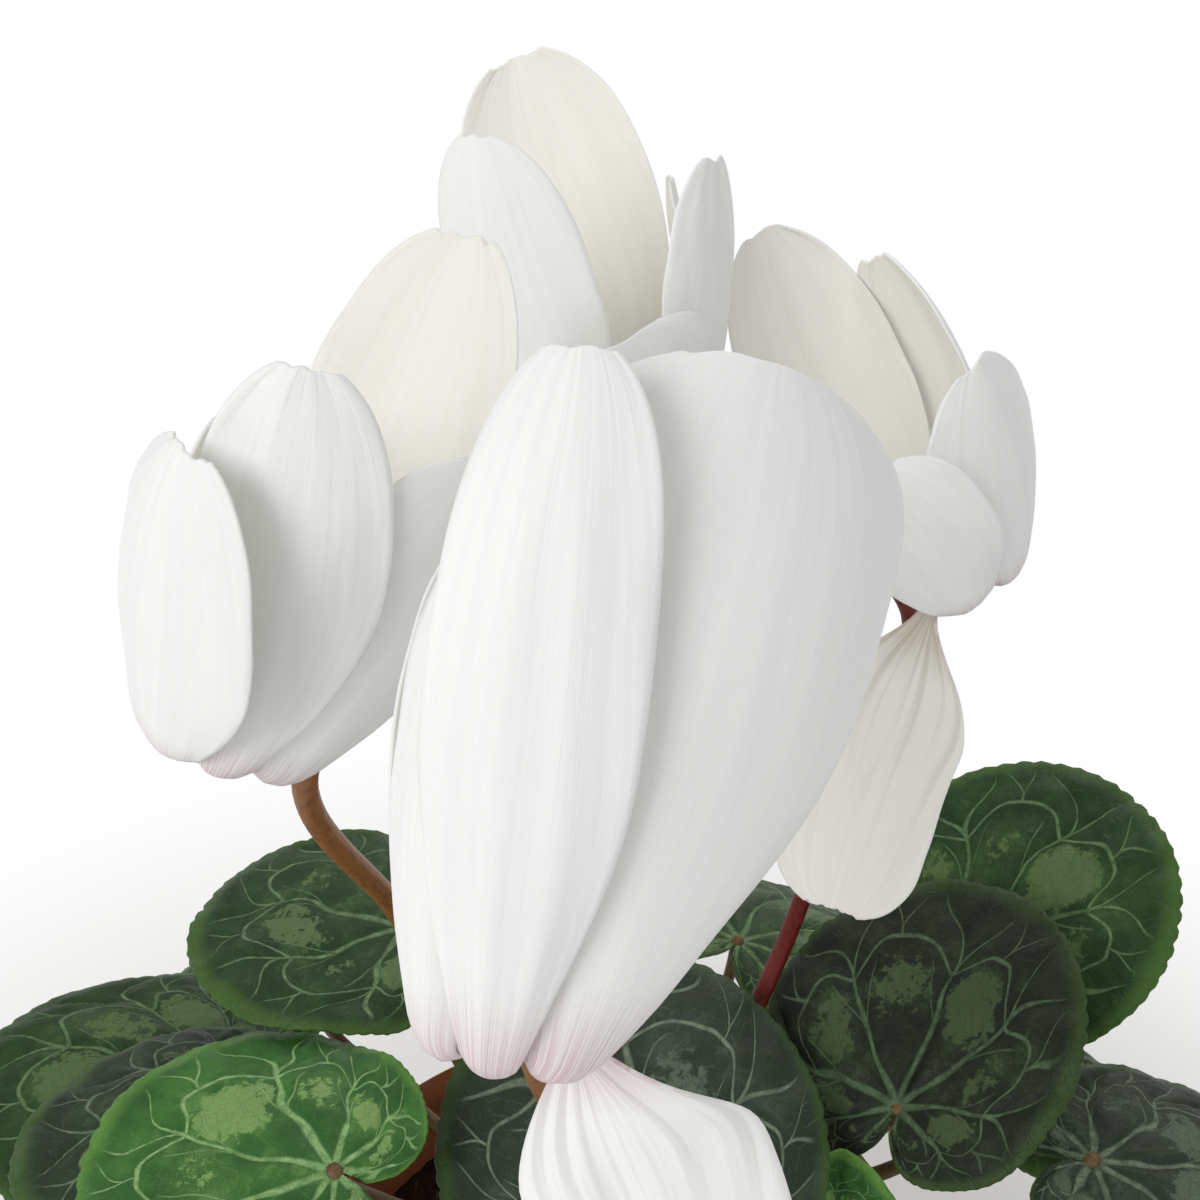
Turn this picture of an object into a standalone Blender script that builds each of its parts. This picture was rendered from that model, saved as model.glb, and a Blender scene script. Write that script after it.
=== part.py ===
"""A white florist's cyclamen in a plain clay pot: pot, soil, corm, leaves on their stalks, and nodding flowers.

Metres, +Z up. The origin is the middle of the pot's flat underside, and -Y is the plant's front.
Angles are in degrees. A petal's or a stalk's azimuth is 0 at the front and grows towards +X.
A leaf's heading is 0 along +X and 90 along +Y.
"""

from collections import namedtuple
from math import cos, pi, radians, sin, sqrt

import bmesh
import bpy
import numpy as np
from mathutils import Vector

MM = 0.001

# Pot, soil and corm
POT_HEIGHT = 128 * MM
POT_BASE_RADIUS = 47 * MM
POT_RIM_RADIUS = 70 * MM
POT_RIM_HEIGHT = 24 * MM
POT_RIM_STEP = 3.5 * MM
POT_WALL = 5.5 * MM
POT_FLOOR = 7 * MM
DRAIN_HOLES = 4
DRAIN_RADIUS = 4.5 * MM
DRAIN_CIRCLE = 26 * MM
SOIL_HEIGHT = 110 * MM
SOIL_MOUND = 5 * MM
CORM_RADIUS = 25 * MM
CORM_HEIGHT = 22 * MM
GAP = 0.3 * MM

# Leaves
BLADE_THICKNESS = 0.8 * MM
SINUS_SHIFT = 0.5  # the stalk joins the blade this share of the radius behind its middle
LEAF_STALK_RADIUS = 1.7 * MM
STALK_CLEARS = POT_HEIGHT + 9 * MM  # the height above which a stalk's last bend stays, to clear the rim

# Flowers
PETAL_THICKNESS = 0.6 * MM
PETAL_TURN = 10.5 * MM  # the length over which a petal's foot turns from the mouth to its rise
PETAL_CURL_LENGTH = 65 * MM  # the length over which it has turned by its curl too
TUBE_MOUTH_RADIUS = 4.6 * MM
TUBE_LENGTH = 10 * MM
FLOWER_STEM_RADIUS = 1.8 * MM

Leaf = namedtuple("Leaf", "name middle radius heading pitch bank dome fold wave sinus foot")
Petal = namedtuple("Petal", "azimuth rise curl sweep roll twist length width widest cup tip")
Flower = namedtuple("Flower", "name mouth lean_back lean_side stem_azimuth through foot petals")

# Middle in mm; radius in mm; dome is how far the rim hangs in mm; fold lifts the two halves, in mm;
# sinus is half the angle of the notch. Foot is where the stalk leaves the corm: degrees and mm.
LEAVES = [
    Leaf("leaf_back_left", (-57, 40, 195), 31, 168, 2, 0, 5, 0, 2, 9, (160, 12)),
    Leaf("leaf_far_left", (-101, 26, 164), 36, 176, 5, 4, 6, 0, 1, 9, (180, 19)),
    Leaf("leaf_mid_left", (-86, 2, 177), 30, 190, -2, 4, 5, 0, 1, 9, (195, 12)),
    Leaf("leaf_front_left", (-63, -19, 192), 32, 165, -2, -4, 5, 0, 2, 9, (225, 12)),
    Leaf("leaf_centre", (6, -8, 187), 38, 90, 15, 0, 5, 0, 2, 26, (270, 0)),
    Leaf("leaf_front_low", (-24, -68, 154), 32, 255, -18, 0, 6, 0, 2, 9, (250, 19)),
    Leaf("leaf_low_left", (-82, -62, 144), 31, 215, -16, 0, 6, 0, 2, 9, (213, 19)),
    Leaf("leaf_back_right", (90, 44, 197), 34, 42, 34, 0, 4, 0, 2, 9, (32, 12)),
    Leaf("leaf_right_folded", (66, 15, 186), 33, 60, 28, -16, 2, 6, 2, 9, (5, 12)),
    Leaf("leaf_far_right", (112, -8, 172), 31, -10, -4, 0, 6, 0, 2, 9, (-8, 19)),
    Leaf("leaf_low_right", (72, -50, 154), 31, -40, -14, 0, 6, 0, 2, 9, (-40, 19)),
    Leaf("leaf_front_right", (28, -82, 138), 31, -60, -24, 0, 6, 0, 2, 9, (-75, 19)),
    Leaf("leaf_rear_left", (-86, 74, 146), 33, 142, -18, 0, 6, 0, 2, 9, (138, 19)),
    Leaf("leaf_rear", (-26, 92, 152), 33, 105, -16, 0, 6, 0, 2, 9, (100, 19)),
    Leaf("leaf_rear_right", (42, 84, 155), 35, 62, -18, 0, 6, 0, 2, 9, (66, 19)),
    Leaf("leaf_right_hanging", (100, 46, 146), 33, 22, -22, 0, 6, 0, 2, 9, (28, 19)),
    Leaf("leaf_curled", (46, -10, 163), 12, 80, 68, 10, 0, 9, 1, 12, (-20, 13)),
    Leaf("leaf_withered", (46, 17, 167), 9, 230, 70, 0, -2, 5, 2, 12, (18, 14.5)),
]

# Mouth and the points a stem passes through in mm. Petal: length and width in mm, widest is the share
# of the length where it is so wide, tip is the bluntness of its end, and the rest is in degrees.
# Petals of one flower with the same rise and curl lie on one barrel, so they only differ by their roll.
FLOWERS = [
    Flower("flower_front", (-8, -97, 307), 30, 12, 164, [(6, -62, 232), (8, -40, 178), (4, -28, 150)], (-60, 8), [
        Petal(-12, 60, 36, -2, 4, 0, 70, 18, 0.55, 34, 3.2),
        Petal(24, 64, 34, 2, 8, 0, 72, 37, 0.62, 52, 5.5),
        Petal(-43, 74, 34, 0, -6, 0, 54, 15, 0.55, 46, 2.4),
        Petal(214, 70, 34, 0, 8, 0, 54, 16, 0.55, 46, 2.4),
        Petal(112, -54, -16, -14, 55, 0, 47, 26, 0.42, 22, 2.4),
    ]),
    Flower("flower_left", (-44, -53, 309), 15, 26, 102, [(-31, -30, 260), (-30, -6, 224), (-30, 16, 180)], (170, 5), [
        Petal(-35, 57, 37, 2, 12, 0, 47, 27, 0.5, 40, 2.4),
        Petal(5, 67, 32, -14, 10, 0, 58, 22, 0.6, 36, 2.4),
        Petal(52, 66, 34, 0, 10, 0, 54, 30, 0.6, 45, 4),
        Petal(152, 70, 22, 8, 10, 0, 74, 32, 0.6, 40, 2.4),
        Petal(-122, 73, 34, 0, -8, 0, 42, 24, 0.55, 44, 2.4),
    ]),
    Flower("flower_back", (7, 40, 303), 5, -20, -125, [(-2, 42, 230), (-2, 36, 182)], (90, 7), [
        Petal(-45, 76, 16, 17, -20, 0, 72, 29, 0.55, 44, 2.4),
        Petal(68, 62, 22, 10, 10, 0, 57, 24, 0.6, 40, 2.4),
        Petal(106, 71, 20, 0, 8, 0, 52, 16, 0.55, 36, 2.4),
        Petal(178, 72, 12, 0, 8, 0, 78, 38, 0.6, 52, 2.4),
        Petal(11, 57, 30, 0, 0, 0, 38, 32, 0.6, 46, 8),
    ]),
    Flower("flower_right", (61, 20, 288), 12, -33, -110, [(45, 30, 224), (36, 28, 188)], (20, 7), [
        Petal(-5, 62, 20, 0, 8, 0, 42, 25, 0.55, 36, 4),
        Petal(54, 62, 34, 0, 10, 0, 46, 30, 0.55, 46, 2.4),
        Petal(128, 68, 34, 0, 10, 0, 64, 29, 0.55, 44, 2.4),
        Petal(-162, 72, 26, -6, 10, 0, 77, 30, 0.55, 46, 2.4),
        Petal(-70, -35, -12, 0, 45, 0, 58, 28, 0.42, 20, 6),
    ]),
]

COLOURS = {
    "clay": ((0.60, 0.27, 0.15, 1), 0.85),
    "soil": ((0.05, 0.032, 0.022, 1), 1.0),
    "corm": ((0.22, 0.13, 0.08, 1), 0.9),
    "leaf": ((0.035, 0.13, 0.035, 1), 0.5),
    "withered": ((0.30, 0.20, 0.10, 1), 0.9),
    "stalk": ((0.25, 0.06, 0.03, 1), 0.5),
    "petal": ((0.86, 0.86, 0.82, 1), 0.6),
    "calyx": ((0.16, 0.12, 0.05, 1), 0.6),
    "stamen": ((0.45, 0.25, 0.06, 1), 0.7),
}


def material(name):
    """The Principled material of this name, made at its first use."""
    found = bpy.data.materials.get(name)
    if found is None:
        colour, roughness = COLOURS[name]
        found = bpy.data.materials.new(name)
        found.use_nodes = True
        shader = found.node_tree.nodes["Principled BSDF"]
        shader.inputs["Base Color"].default_value = colour
        shader.inputs["Roughness"].default_value = roughness
        shader.inputs["Metallic"].default_value = 0
        found.diffuse_color = colour
    return found


def add_object(name, points, faces, material_name, helper=False):
    """A mesh object with outward normals, shaded smooth."""
    mesh = bpy.data.meshes.new(name)
    mesh.from_pydata([tuple(p) for p in points], [], faces)
    shape = bmesh.new()
    shape.from_mesh(mesh)
    bmesh.ops.recalc_face_normals(shape, faces=shape.faces)
    shape.to_mesh(mesh)
    shape.free()
    mesh.shade_smooth()
    mesh.set_sharp_from_angle(angle=radians(40))
    mesh.materials.append(material(material_name))
    made = bpy.data.objects.new(name, mesh)
    bpy.context.scene.collection.objects.link(made)
    if helper:
        made.hide_render = True
        made.display_type = "WIRE"
    return made


def sheet(name, grid, thickness, material_name):
    """A thin closed solid round a grid of points, half its thickness on either side."""
    rows, columns = grid.shape[:2]
    faces = [
        (r * columns + c, r * columns + c + 1, (r + 1) * columns + c + 1, (r + 1) * columns + c)
        for r in range(rows - 1)
        for c in range(columns - 1)
    ]
    made = add_object(name, grid.reshape(-1, 3), faces, material_name)
    solidify = made.modifiers.new("thickness", "SOLIDIFY")
    solidify.thickness = thickness
    solidify.offset = 0
    return made


def turned(name, profile, steps, material_name, middle=(0, 0, 0), axes=None, lobes=0, helper=False):
    """A closed ring of (radius, height, lobe) points turned about the axis. Points on the axis become poles.

    The optional lobe is how far the height swings up and down, `lobes` times round.
    """
    right, front, up = axes or (Vector((1, 0, 0)), Vector((0, 1, 0)), Vector((0, 0, 1)))
    points, rings = [], []
    for radius, height, *lobe in profile:
        ring = []
        for i in range(steps if radius > 0 else 1):
            angle = 2 * pi * i / steps
            level = height + (lobe[0] * cos(lobes * angle) if lobe else 0)
            ring.append(len(points))
            points.append(Vector(middle) + radius * (cos(angle) * right + sin(angle) * front) + level * up)
        rings.append(ring)
    faces = []
    for low, high in zip(rings, rings[1:] + rings[:1]):
        for i in range(steps):
            j = (i + 1) % steps
            corners = [low[i % len(low)], low[j % len(low)], high[j % len(high)], high[i % len(high)]]
            corners = list(dict.fromkeys(corners))
            if len(corners) > 2:
                faces.append(corners)
    return add_object(name, points, faces, material_name, helper)


def smooth_path(knots, count):
    """Points of a smooth curve through the knots, closer together where the knots are."""
    knots = np.array(knots, float)
    steps = np.linalg.norm(np.diff(knots, axis=0), axis=1) ** 0.5
    at = np.concatenate([[0], np.cumsum(steps)])
    slopes = np.gradient(knots, at, axis=0)
    wanted = np.linspace(0, at[-1], count)
    k = np.clip(np.searchsorted(at, wanted) - 1, 0, len(steps) - 1)
    span = steps[k][:, None]
    t = (wanted - at[k])[:, None] / span
    low = (1 + 2 * t) * (1 - t) ** 2 * knots[k] + t * (1 - t) ** 2 * span * slopes[k]
    return low + t**2 * (3 - 2 * t) * knots[k + 1] + t**2 * (t - 1) * span * slopes[k + 1]


def stalk(name, path, radii, material_name, sides=6, helper=False):
    """A round closed stalk along a path from its level foot, its section carried along without twisting."""
    tangents = np.gradient(path, axis=0)
    tangents[0] = (0, 0, 1)
    tangents /= np.linalg.norm(tangents, axis=1, keepdims=True)
    across = np.cross(tangents[0], (0.3, 0.9, 0.1))
    points = []
    for at, along, radius in zip(path, tangents, radii):
        across = across - along * (across @ along)
        across /= np.linalg.norm(across)
        beside = np.cross(along, across)
        for i in range(sides):
            angle = 2 * pi * i / sides
            points.append(at + radius * (cos(angle) * across + sin(angle) * beside))
    faces = [
        (r * sides + i, r * sides + (i + 1) % sides, (r + 1) * sides + (i + 1) % sides, (r + 1) * sides + i)
        for r in range(len(path) - 1)
        for i in range(sides)
    ]
    last = (len(path) - 1) * sides
    faces.append(tuple(range(sides)))
    faces.append(tuple(range(last, last + sides)))
    return add_object(name, points, faces, material_name, helper)


def smoothstep(x):
    x = np.clip(x, 0, 1)
    return x * x * (3 - 2 * x)


# Pot, soil and corm ----------------------------------------------------------------------------


def pot_outside(height):
    """Radius of the pot's tapered body at this height, under its rim."""
    top = POT_RIM_RADIUS - POT_RIM_STEP
    return POT_BASE_RADIUS + (top - POT_BASE_RADIUS) * height / POT_HEIGHT


def make_pot():
    rim_bottom = POT_HEIGHT - POT_RIM_HEIGHT
    profile = [
        (0, 0),
        (POT_BASE_RADIUS - 1.5 * MM, 0),
        (POT_BASE_RADIUS, 1.5 * MM),
        (pot_outside(rim_bottom), rim_bottom),
        (POT_RIM_RADIUS - 1 * MM, rim_bottom + 1.5 * MM),
        (POT_RIM_RADIUS, POT_HEIGHT - 1.5 * MM),
        (POT_RIM_RADIUS - 1.5 * MM, POT_HEIGHT),
        (POT_RIM_RADIUS - POT_WALL, POT_HEIGHT),
        (POT_RIM_RADIUS - POT_WALL - 1 * MM, POT_HEIGHT - 1.5 * MM),
        (pot_outside(POT_FLOOR) - POT_WALL, POT_FLOOR),
        (0, POT_FLOOR),
    ]
    pot = turned("pot", profile, 40, "clay")
    for i in range(DRAIN_HOLES):
        angle = 2 * pi * (i + 0.5) / DRAIN_HOLES
        centre = (DRAIN_CIRCLE * cos(angle), DRAIN_CIRCLE * sin(angle), 0)
        drill = [(0, -5 * MM), (DRAIN_RADIUS, -5 * MM), (DRAIN_RADIUS, 15 * MM), (0, 15 * MM)]
        cutter = turned(f"drain_cutter_{i}", drill, 12, "clay", centre, helper=True)
        cut = pot.modifiers.new(f"drain_{i}", "BOOLEAN")
        cut.operation = "DIFFERENCE"
        cut.solver = "EXACT"
        cut.object = cutter


def pot_inside(height):
    """Radius of the pot's inner wall at this height."""
    low, high = pot_outside(POT_FLOOR) - POT_WALL, POT_RIM_RADIUS - POT_WALL - 1 * MM
    return low + (high - low) * (height - POT_FLOOR) / (POT_HEIGHT - 1.5 * MM - POT_FLOOR)


def make_soil():
    bottom = POT_FLOOR + GAP
    seat = CORM_RADIUS * 0.86
    profile = [
        (0, bottom),
        (pot_inside(bottom) - GAP, bottom),
        (pot_inside(SOIL_HEIGHT) - GAP, SOIL_HEIGHT),
        (pot_inside(SOIL_HEIGHT) * 0.8, SOIL_HEIGHT + SOIL_MOUND * 0.5),
        (seat + 6 * MM, SOIL_HEIGHT + SOIL_MOUND),
        (seat + GAP, SOIL_HEIGHT + SOIL_MOUND),
        (seat * 0.75 + GAP, CORM_BOTTOM + 5 * MM),
        (0, CORM_BOTTOM - GAP),
    ]
    turned("soil", profile, 24, "soil")


CORM_TOP = SOIL_HEIGHT + SOIL_MOUND + 9 * MM
CORM_BOTTOM = CORM_TOP - CORM_HEIGHT


def corm_point(azimuth, radius):
    """Where a stalk starts, just clear of the corm's top."""
    angle = radians(azimuth)
    return np.array([radius * MM * cos(angle), radius * MM * sin(angle), CORM_TOP + GAP])


def make_corm():
    seat = CORM_RADIUS * 0.86
    profile = [
        (0, CORM_BOTTOM),
        (seat * 0.75 - GAP, CORM_BOTTOM + 5 * MM),
        (seat - GAP, SOIL_HEIGHT + SOIL_MOUND),
        (CORM_RADIUS * 0.95, CORM_TOP - 2.5 * MM),
        (CORM_RADIUS * 0.88, CORM_TOP),
        (0, CORM_TOP),
    ]
    turned("corm", profile, 24, "corm")


# Leaves ----------------------------------------------------------------------------------------


def leaf_axes(leaf):
    """Unit vectors of the blade: towards its tip, across, and out of its upper face."""
    heading, pitch, bank = (radians(a) for a in (leaf.heading, leaf.pitch, leaf.bank))
    tip = np.array([cos(heading) * cos(pitch), sin(heading) * cos(pitch), sin(pitch)])
    level = np.array([-sin(heading), cos(heading), 0])
    above = np.cross(tip, level)
    across = cos(bank) * level + sin(bank) * above
    return tip, across, np.cross(tip, across)


def leaf_outline(angle):
    """Distance from the stalk's joint to the rim, as a share of the radius. Angle is 0 at the tip."""
    s = SINUS_SHIFT
    disc = s * np.cos(angle) + np.sqrt(1 - (s * np.sin(angle)) ** 2)
    point = 0.05 * np.exp(-((angle / 0.35) ** 2))
    notch = 1 - 0.75 * np.exp(-(((pi - np.abs(angle)) / 0.42) ** 2))
    return (disc + point) * notch


def leaf_surface(leaf, share, angle):
    """Points of the blade's middle surface at this share of the way to the rim."""
    tip, across, out = leaf_axes(leaf)
    radius = leaf.radius * MM
    reach = share * leaf_outline(angle) * radius
    x, y = reach * np.cos(angle), reach * np.sin(angle)
    from_middle = np.sqrt((x - SINUS_SHIFT * radius) ** 2 + y**2) / radius
    rise = -leaf.dome * MM * from_middle**2
    rise = rise + leaf.fold * MM * np.abs(y) / radius
    rise = rise + leaf.wave * MM * share**3 * np.sin(3 * angle + leaf.heading)
    joint = np.array(leaf.middle) * MM - SINUS_SHIFT * radius * tip
    return joint + x[..., None] * tip + y[..., None] * across + rise[..., None] * out


def make_leaf(leaf):
    rings, spokes = 3, 14
    ends = pi - radians(leaf.sinus)
    angles = np.linspace(-ends, ends, spokes + 1)
    shares = np.array([0.08, 0.55, 1.0])
    grid = leaf_surface(leaf, shares[:, None] + 0 * angles, angles + 0 * shares[:, None])
    joint = leaf_surface(leaf, np.zeros(1), np.zeros(1))[0]
    points = np.concatenate([[joint], grid.reshape(-1, 3)])
    columns = spokes + 1
    faces = [(0, 1 + c, 2 + c) for c in range(spokes)]
    for r in range(rings - 1):
        for c in range(spokes):
            a = 1 + r * columns + c
            faces.append((a, a + columns, a + columns + 1, a + 1))
    blade = add_object(leaf.name, points, faces, "withered" if leaf.name == "leaf_withered" else "leaf")
    solidify = blade.modifiers.new("thickness", "SOLIDIFY")
    solidify.thickness = BLADE_THICKNESS
    solidify.offset = 0

    tip, _, out = leaf_axes(leaf)
    foot = corm_point(*leaf.foot)
    length = np.linalg.norm(joint - foot)
    drop = min(0.22 * length, joint[2] - STALK_CLEARS)
    under = joint - out * drop - tip * 0.06 * length
    spring = foot + np.array([0.12 * joint[0], 0.12 * joint[1], 0.3 * (joint[2] - foot[2])])
    path = smooth_path([foot, spring, under, joint], 8)
    radii = np.linspace(1.15, 0.8, len(path)) * LEAF_STALK_RADIUS
    limb = stalk(leaf.name + "_stalk", path, radii, "stalk", sides=5, helper=True)
    join = blade.modifiers.new("stalk", "BOOLEAN")
    join.operation = "UNION"
    join.solver = "EXACT"
    join.object = limb


# Flowers ---------------------------------------------------------------------------------------


def flower_axes(flower):
    """Unit vectors of the flower: to its front, to its right, and from its mouth up into its petals."""
    back, side = radians(flower.lean_back), radians(flower.lean_side)
    up = np.array([sin(side) * cos(back), sin(back), cos(side) * cos(back)])
    front = np.array([0, -1.0, 0])
    front -= up * (front @ up)
    front /= np.linalg.norm(front)
    return front, np.cross(front, up) * -1, up


def petal_half_width(share, widest, tip):
    """Half width at this share of the length, as a share of the widest: narrow foot, broad middle, round end."""
    growing = 0.16 + 0.84 * smoothstep(share / widest) ** 0.85
    ending = np.sqrt(np.clip(1 - (np.clip(share - widest, 0, 1) / (1 - widest)) ** tip, 0, 1))
    return np.where(share < widest, growing, ending)


def petal_surface(flower, petal, rows, columns):
    """Grid of points of the petal's middle surface: foot first, -azimuth edge first."""
    front, right, up = flower_axes(flower)
    azimuth = radians(petal.azimuth)
    out = cos(azimuth) * front + sin(azimuth) * right
    beside = -sin(azimuth) * front + cos(azimuth) * right
    fine = 120
    share = np.linspace(0, 1, fine)
    start = radians(-40)
    reached = share * petal.length * MM
    turned_up = smoothstep(reached / PETAL_TURN)
    angle = start + (radians(petal.rise) - start) * turned_up
    angle = angle + radians(petal.curl) * (reached / PETAL_CURL_LENGTH) ** 1.5
    sideways = radians(petal.sweep) * smoothstep(share / 0.8)
    ahead = np.cos(angle)[:, None] * out + np.sin(angle)[:, None] * up
    facing = np.sin(angle)[:, None] * out - np.cos(angle)[:, None] * up
    along = np.cos(sideways)[:, None] * ahead + np.sin(sideways)[:, None] * beside
    level = -np.sin(sideways)[:, None] * ahead + np.cos(sideways)[:, None] * beside
    length = petal.length * MM
    foot = np.array(flower.mouth) * MM + out * (TUBE_MOUTH_RADIUS - 0.2 * MM) - up * (PETAL_THICKNESS / 2 + GAP)
    spine = foot + np.concatenate([[np.zeros(3)], np.cumsum(along[:-1], axis=0)]) * length / (fine - 1)
    roll = radians(petal.roll) * smoothstep(reached / (18 * MM)) + radians(petal.twist) * share
    across = np.cos(roll)[:, None] * level + np.sin(roll)[:, None] * facing
    normal = -np.sin(roll)[:, None] * level + np.cos(roll)[:, None] * facing
    wanted = np.linspace(0, 0.985, rows)
    pick = lambda values: np.stack([np.interp(wanted, share, values[:, k]) for k in range(3)], -1)
    spine, across, normal = pick(spine), pick(across), pick(normal)
    half = petal_half_width(wanted, petal.widest, petal.tip) * petal.width * MM / 2
    bend = radians(petal.cup) * (1 - 0.3 * wanted) + radians(28) * (1 - smoothstep(wanted / 0.2))
    v = np.linspace(-1, 1, columns)
    reach = np.sin(bend[:, None] * v) / bend[:, None] * half[:, None]
    drop = (1 - np.cos(bend[:, None] * v)) / bend[:, None] * half[:, None]
    return spine[:, None] + reach[..., None] * across[:, None] - drop[..., None] * normal[:, None]


def make_petals(flower):
    for letter, petal in zip("abcde", flower.petals):
        grid = petal_surface(flower, petal, 7, 5)
        sheet(f"{flower.name}_petal_{letter}", grid, PETAL_THICKNESS, "petal")


def make_tube(flower, axes):
    """The short cup the petals spring from, open at the flower's mouth."""
    mouth = np.array(flower.mouth) * MM
    length, radius = TUBE_LENGTH, TUBE_MOUTH_RADIUS
    profile = [
        (radius, 0),
        (radius * 1.2, length * 0.4),
        (radius * 1.0, length * 0.85),
        (radius * 0.45, length),
        (0, length),
        (0, length - 1.5 * MM),
        (radius * 0.6, length * 0.78),
        (radius * 0.98, length * 0.4),
        (radius * 0.8, 0),
    ]
    turned(f"{flower.name}_tube", profile, 15, "petal", mouth, axes)


def make_calyx(flower, axes):
    """Five joined sepals over the back of the tube."""
    mouth = np.array(flower.mouth) * MM
    length, radius = TUBE_LENGTH, TUBE_MOUTH_RADIUS
    inner = [(r + 2 * GAP, h) for r, h in ((radius * 1.2, length * 0.42), (radius, length * 0.87))]
    top = length + GAP
    profile = [
        (inner[0][0] + 0.8 * MM, inner[0][1] + 1 * MM, -1.5 * MM),
        (inner[1][0] + 1.1 * MM, length * 0.85),
        (radius * 0.6, top + 1.2 * MM),
        (0, top + 1.2 * MM),
        (0, top),
        (radius * 0.45 + GAP, top),
        inner[1],
        (inner[0][0], inner[0][1] + 1 * MM, -1.5 * MM),
    ]
    turned(f"{flower.name}_calyx", profile, 15, "calyx", mouth, axes, lobes=5)


def make_stamens(flower, axes):
    """The cone of anthers inside the tube, with the style's tip below it."""
    mouth = np.array(flower.mouth) * MM
    profile = [
        (0, -2.4 * MM),
        (0.5 * MM, -2.2 * MM),
        (0.6 * MM, 0),
        (1.9 * MM, 3.5 * MM),
        (1.5 * MM, TUBE_LENGTH * 0.7),
        (0, TUBE_LENGTH - 1.5 * MM - GAP),
    ]
    turned(f"{flower.name}_stamens", profile, 10, "stamen", mouth, axes)


def stem_path(flower, count):
    """Up from the corm, in between two petals, over in a hook and on to the back of the calyx."""
    front, right, up = flower_axes(flower)
    azimuth = radians(flower.stem_azimuth)
    out = cos(azimuth) * front + sin(azimuth) * right
    start = np.array(flower.mouth) * MM + up * (TUBE_LENGTH + 1.2 * MM + 2 * GAP)
    foot = corm_point(*flower.foot)
    bend = start - up * 16 * MM + out * 11.5 * MM
    through = [np.array(point) * MM for point in reversed(flower.through)]
    knots = [
        foot,
        foot + np.array([0, 0, 8 * MM]),
        *through,
        bend,
        start - up * 3 * MM + out * 11 * MM,
        start + up * 5 * MM + out * 8 * MM,
        start + up * 6 * MM + out * 3 * MM,
        start + up * 3 * MM,
        start,
    ]
    return smooth_path(knots, count)


def make_stem(flower):
    path = stem_path(flower, 22)
    radii = np.linspace(1.15, 0.8, len(path)) * FLOWER_STEM_RADIUS
    stalk(f"{flower.name}_stem", path, radii, "stalk")


def make_flower(flower):
    axes = tuple(Vector(a) for a in flower_axes(flower))
    make_tube(flower, axes)
    make_calyx(flower, axes)
    make_stamens(flower, axes)
    make_stem(flower)
    make_petals(flower)


def clear_scene():
    for found in list(bpy.data.objects):
        bpy.data.objects.remove(found, do_unlink=True)


def main():
    clear_scene()
    make_pot()
    make_soil()
    make_corm()
    for leaf in LEAVES:
        make_leaf(leaf)
    for flower in FLOWERS:
        make_flower(flower)


main()
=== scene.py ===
"""A white cyclamen in a clay pot: the finished surfaces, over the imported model.

Metres, +Z up, -Y is the plant's front. A petal's or stem's azimuth is 0 at the front and grows towards +X.
A leaf's heading is 0 along +X and 90 along +Y. Angles are in degrees, and table lengths in millimetres.
"""

from collections import namedtuple
from math import cos, pi, radians, sin, tan

import bmesh
import bpy
import numpy as np
from mathutils import Matrix, Vector


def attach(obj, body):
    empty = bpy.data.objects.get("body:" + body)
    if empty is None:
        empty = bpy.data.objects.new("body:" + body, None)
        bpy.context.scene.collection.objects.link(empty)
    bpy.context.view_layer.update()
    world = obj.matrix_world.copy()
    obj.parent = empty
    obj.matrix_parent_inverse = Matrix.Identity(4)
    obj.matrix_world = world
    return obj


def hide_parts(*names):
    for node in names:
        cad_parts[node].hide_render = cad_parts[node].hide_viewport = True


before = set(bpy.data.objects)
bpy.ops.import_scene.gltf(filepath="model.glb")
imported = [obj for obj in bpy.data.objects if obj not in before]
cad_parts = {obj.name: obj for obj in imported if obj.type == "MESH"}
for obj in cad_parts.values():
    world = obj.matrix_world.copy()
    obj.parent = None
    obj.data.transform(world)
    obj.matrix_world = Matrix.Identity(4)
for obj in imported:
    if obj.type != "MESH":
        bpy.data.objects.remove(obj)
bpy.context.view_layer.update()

MM = 0.001

# Shape, as in the CAD model -----

POT_HEIGHT = 128 * MM
POT_BASE_RADIUS = 47 * MM
POT_RIM_RADIUS = 70 * MM
POT_RIM_HEIGHT = 24 * MM
POT_RIM_STEP = 3.5 * MM
POT_WALL = 5.5 * MM
POT_FLOOR = 7 * MM
DRAIN_HOLES = 4
DRAIN_RADIUS = 4.5 * MM
DRAIN_CIRCLE = 26 * MM
SOIL_HEIGHT = 110 * MM
SOIL_MOUND = 5 * MM
CORM_RADIUS = 25 * MM
CORM_HEIGHT = 22 * MM
CORM_TOP = SOIL_HEIGHT + SOIL_MOUND + 9 * MM
CORM_BOTTOM = CORM_TOP - CORM_HEIGHT
GAP = 0.3 * MM
BLADE_THICKNESS = 0.7 * MM
SINUS_SHIFT = 0.5
LEAF_STALK_RADIUS = 1.7 * MM
STALK_CLEARS = POT_HEIGHT + 9 * MM
PETAL_THICKNESS = 0.5 * MM
PETAL_TURN = 10.5 * MM
PETAL_CURL_LENGTH = 65 * MM
TUBE_MOUTH_RADIUS = 4.6 * MM
TUBE_LENGTH = 10 * MM
FLOWER_STEM_RADIUS = 1.8 * MM

# Leaf veins, as shares of the leaf's reach from its joint -----

PRIMARY_VEINS = 9
FORK_FROM = 0.60
FORK_TO = 0.96
FORK_SPREAD = 0.27  # in turns, where 1 is the way from one main vein to the next
MAIN_VEIN = 0.028
LOOP_AT = 0.60
LOOP_SAG = 0.13
LOOP_VEIN = 0.016
SPUR_FROM = 0.72
SPUR_VEIN = 0.011
SIDE_FROM = 0.34
SIDE_TO = 0.66
SIDE_VEIN = 0.008
VEINS_FADE = 0.84
PATCH_AT = 0.44
PATCH_DEPTH = 0.115
PATCH_WIDTH = 0.30

# Plants -----

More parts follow.
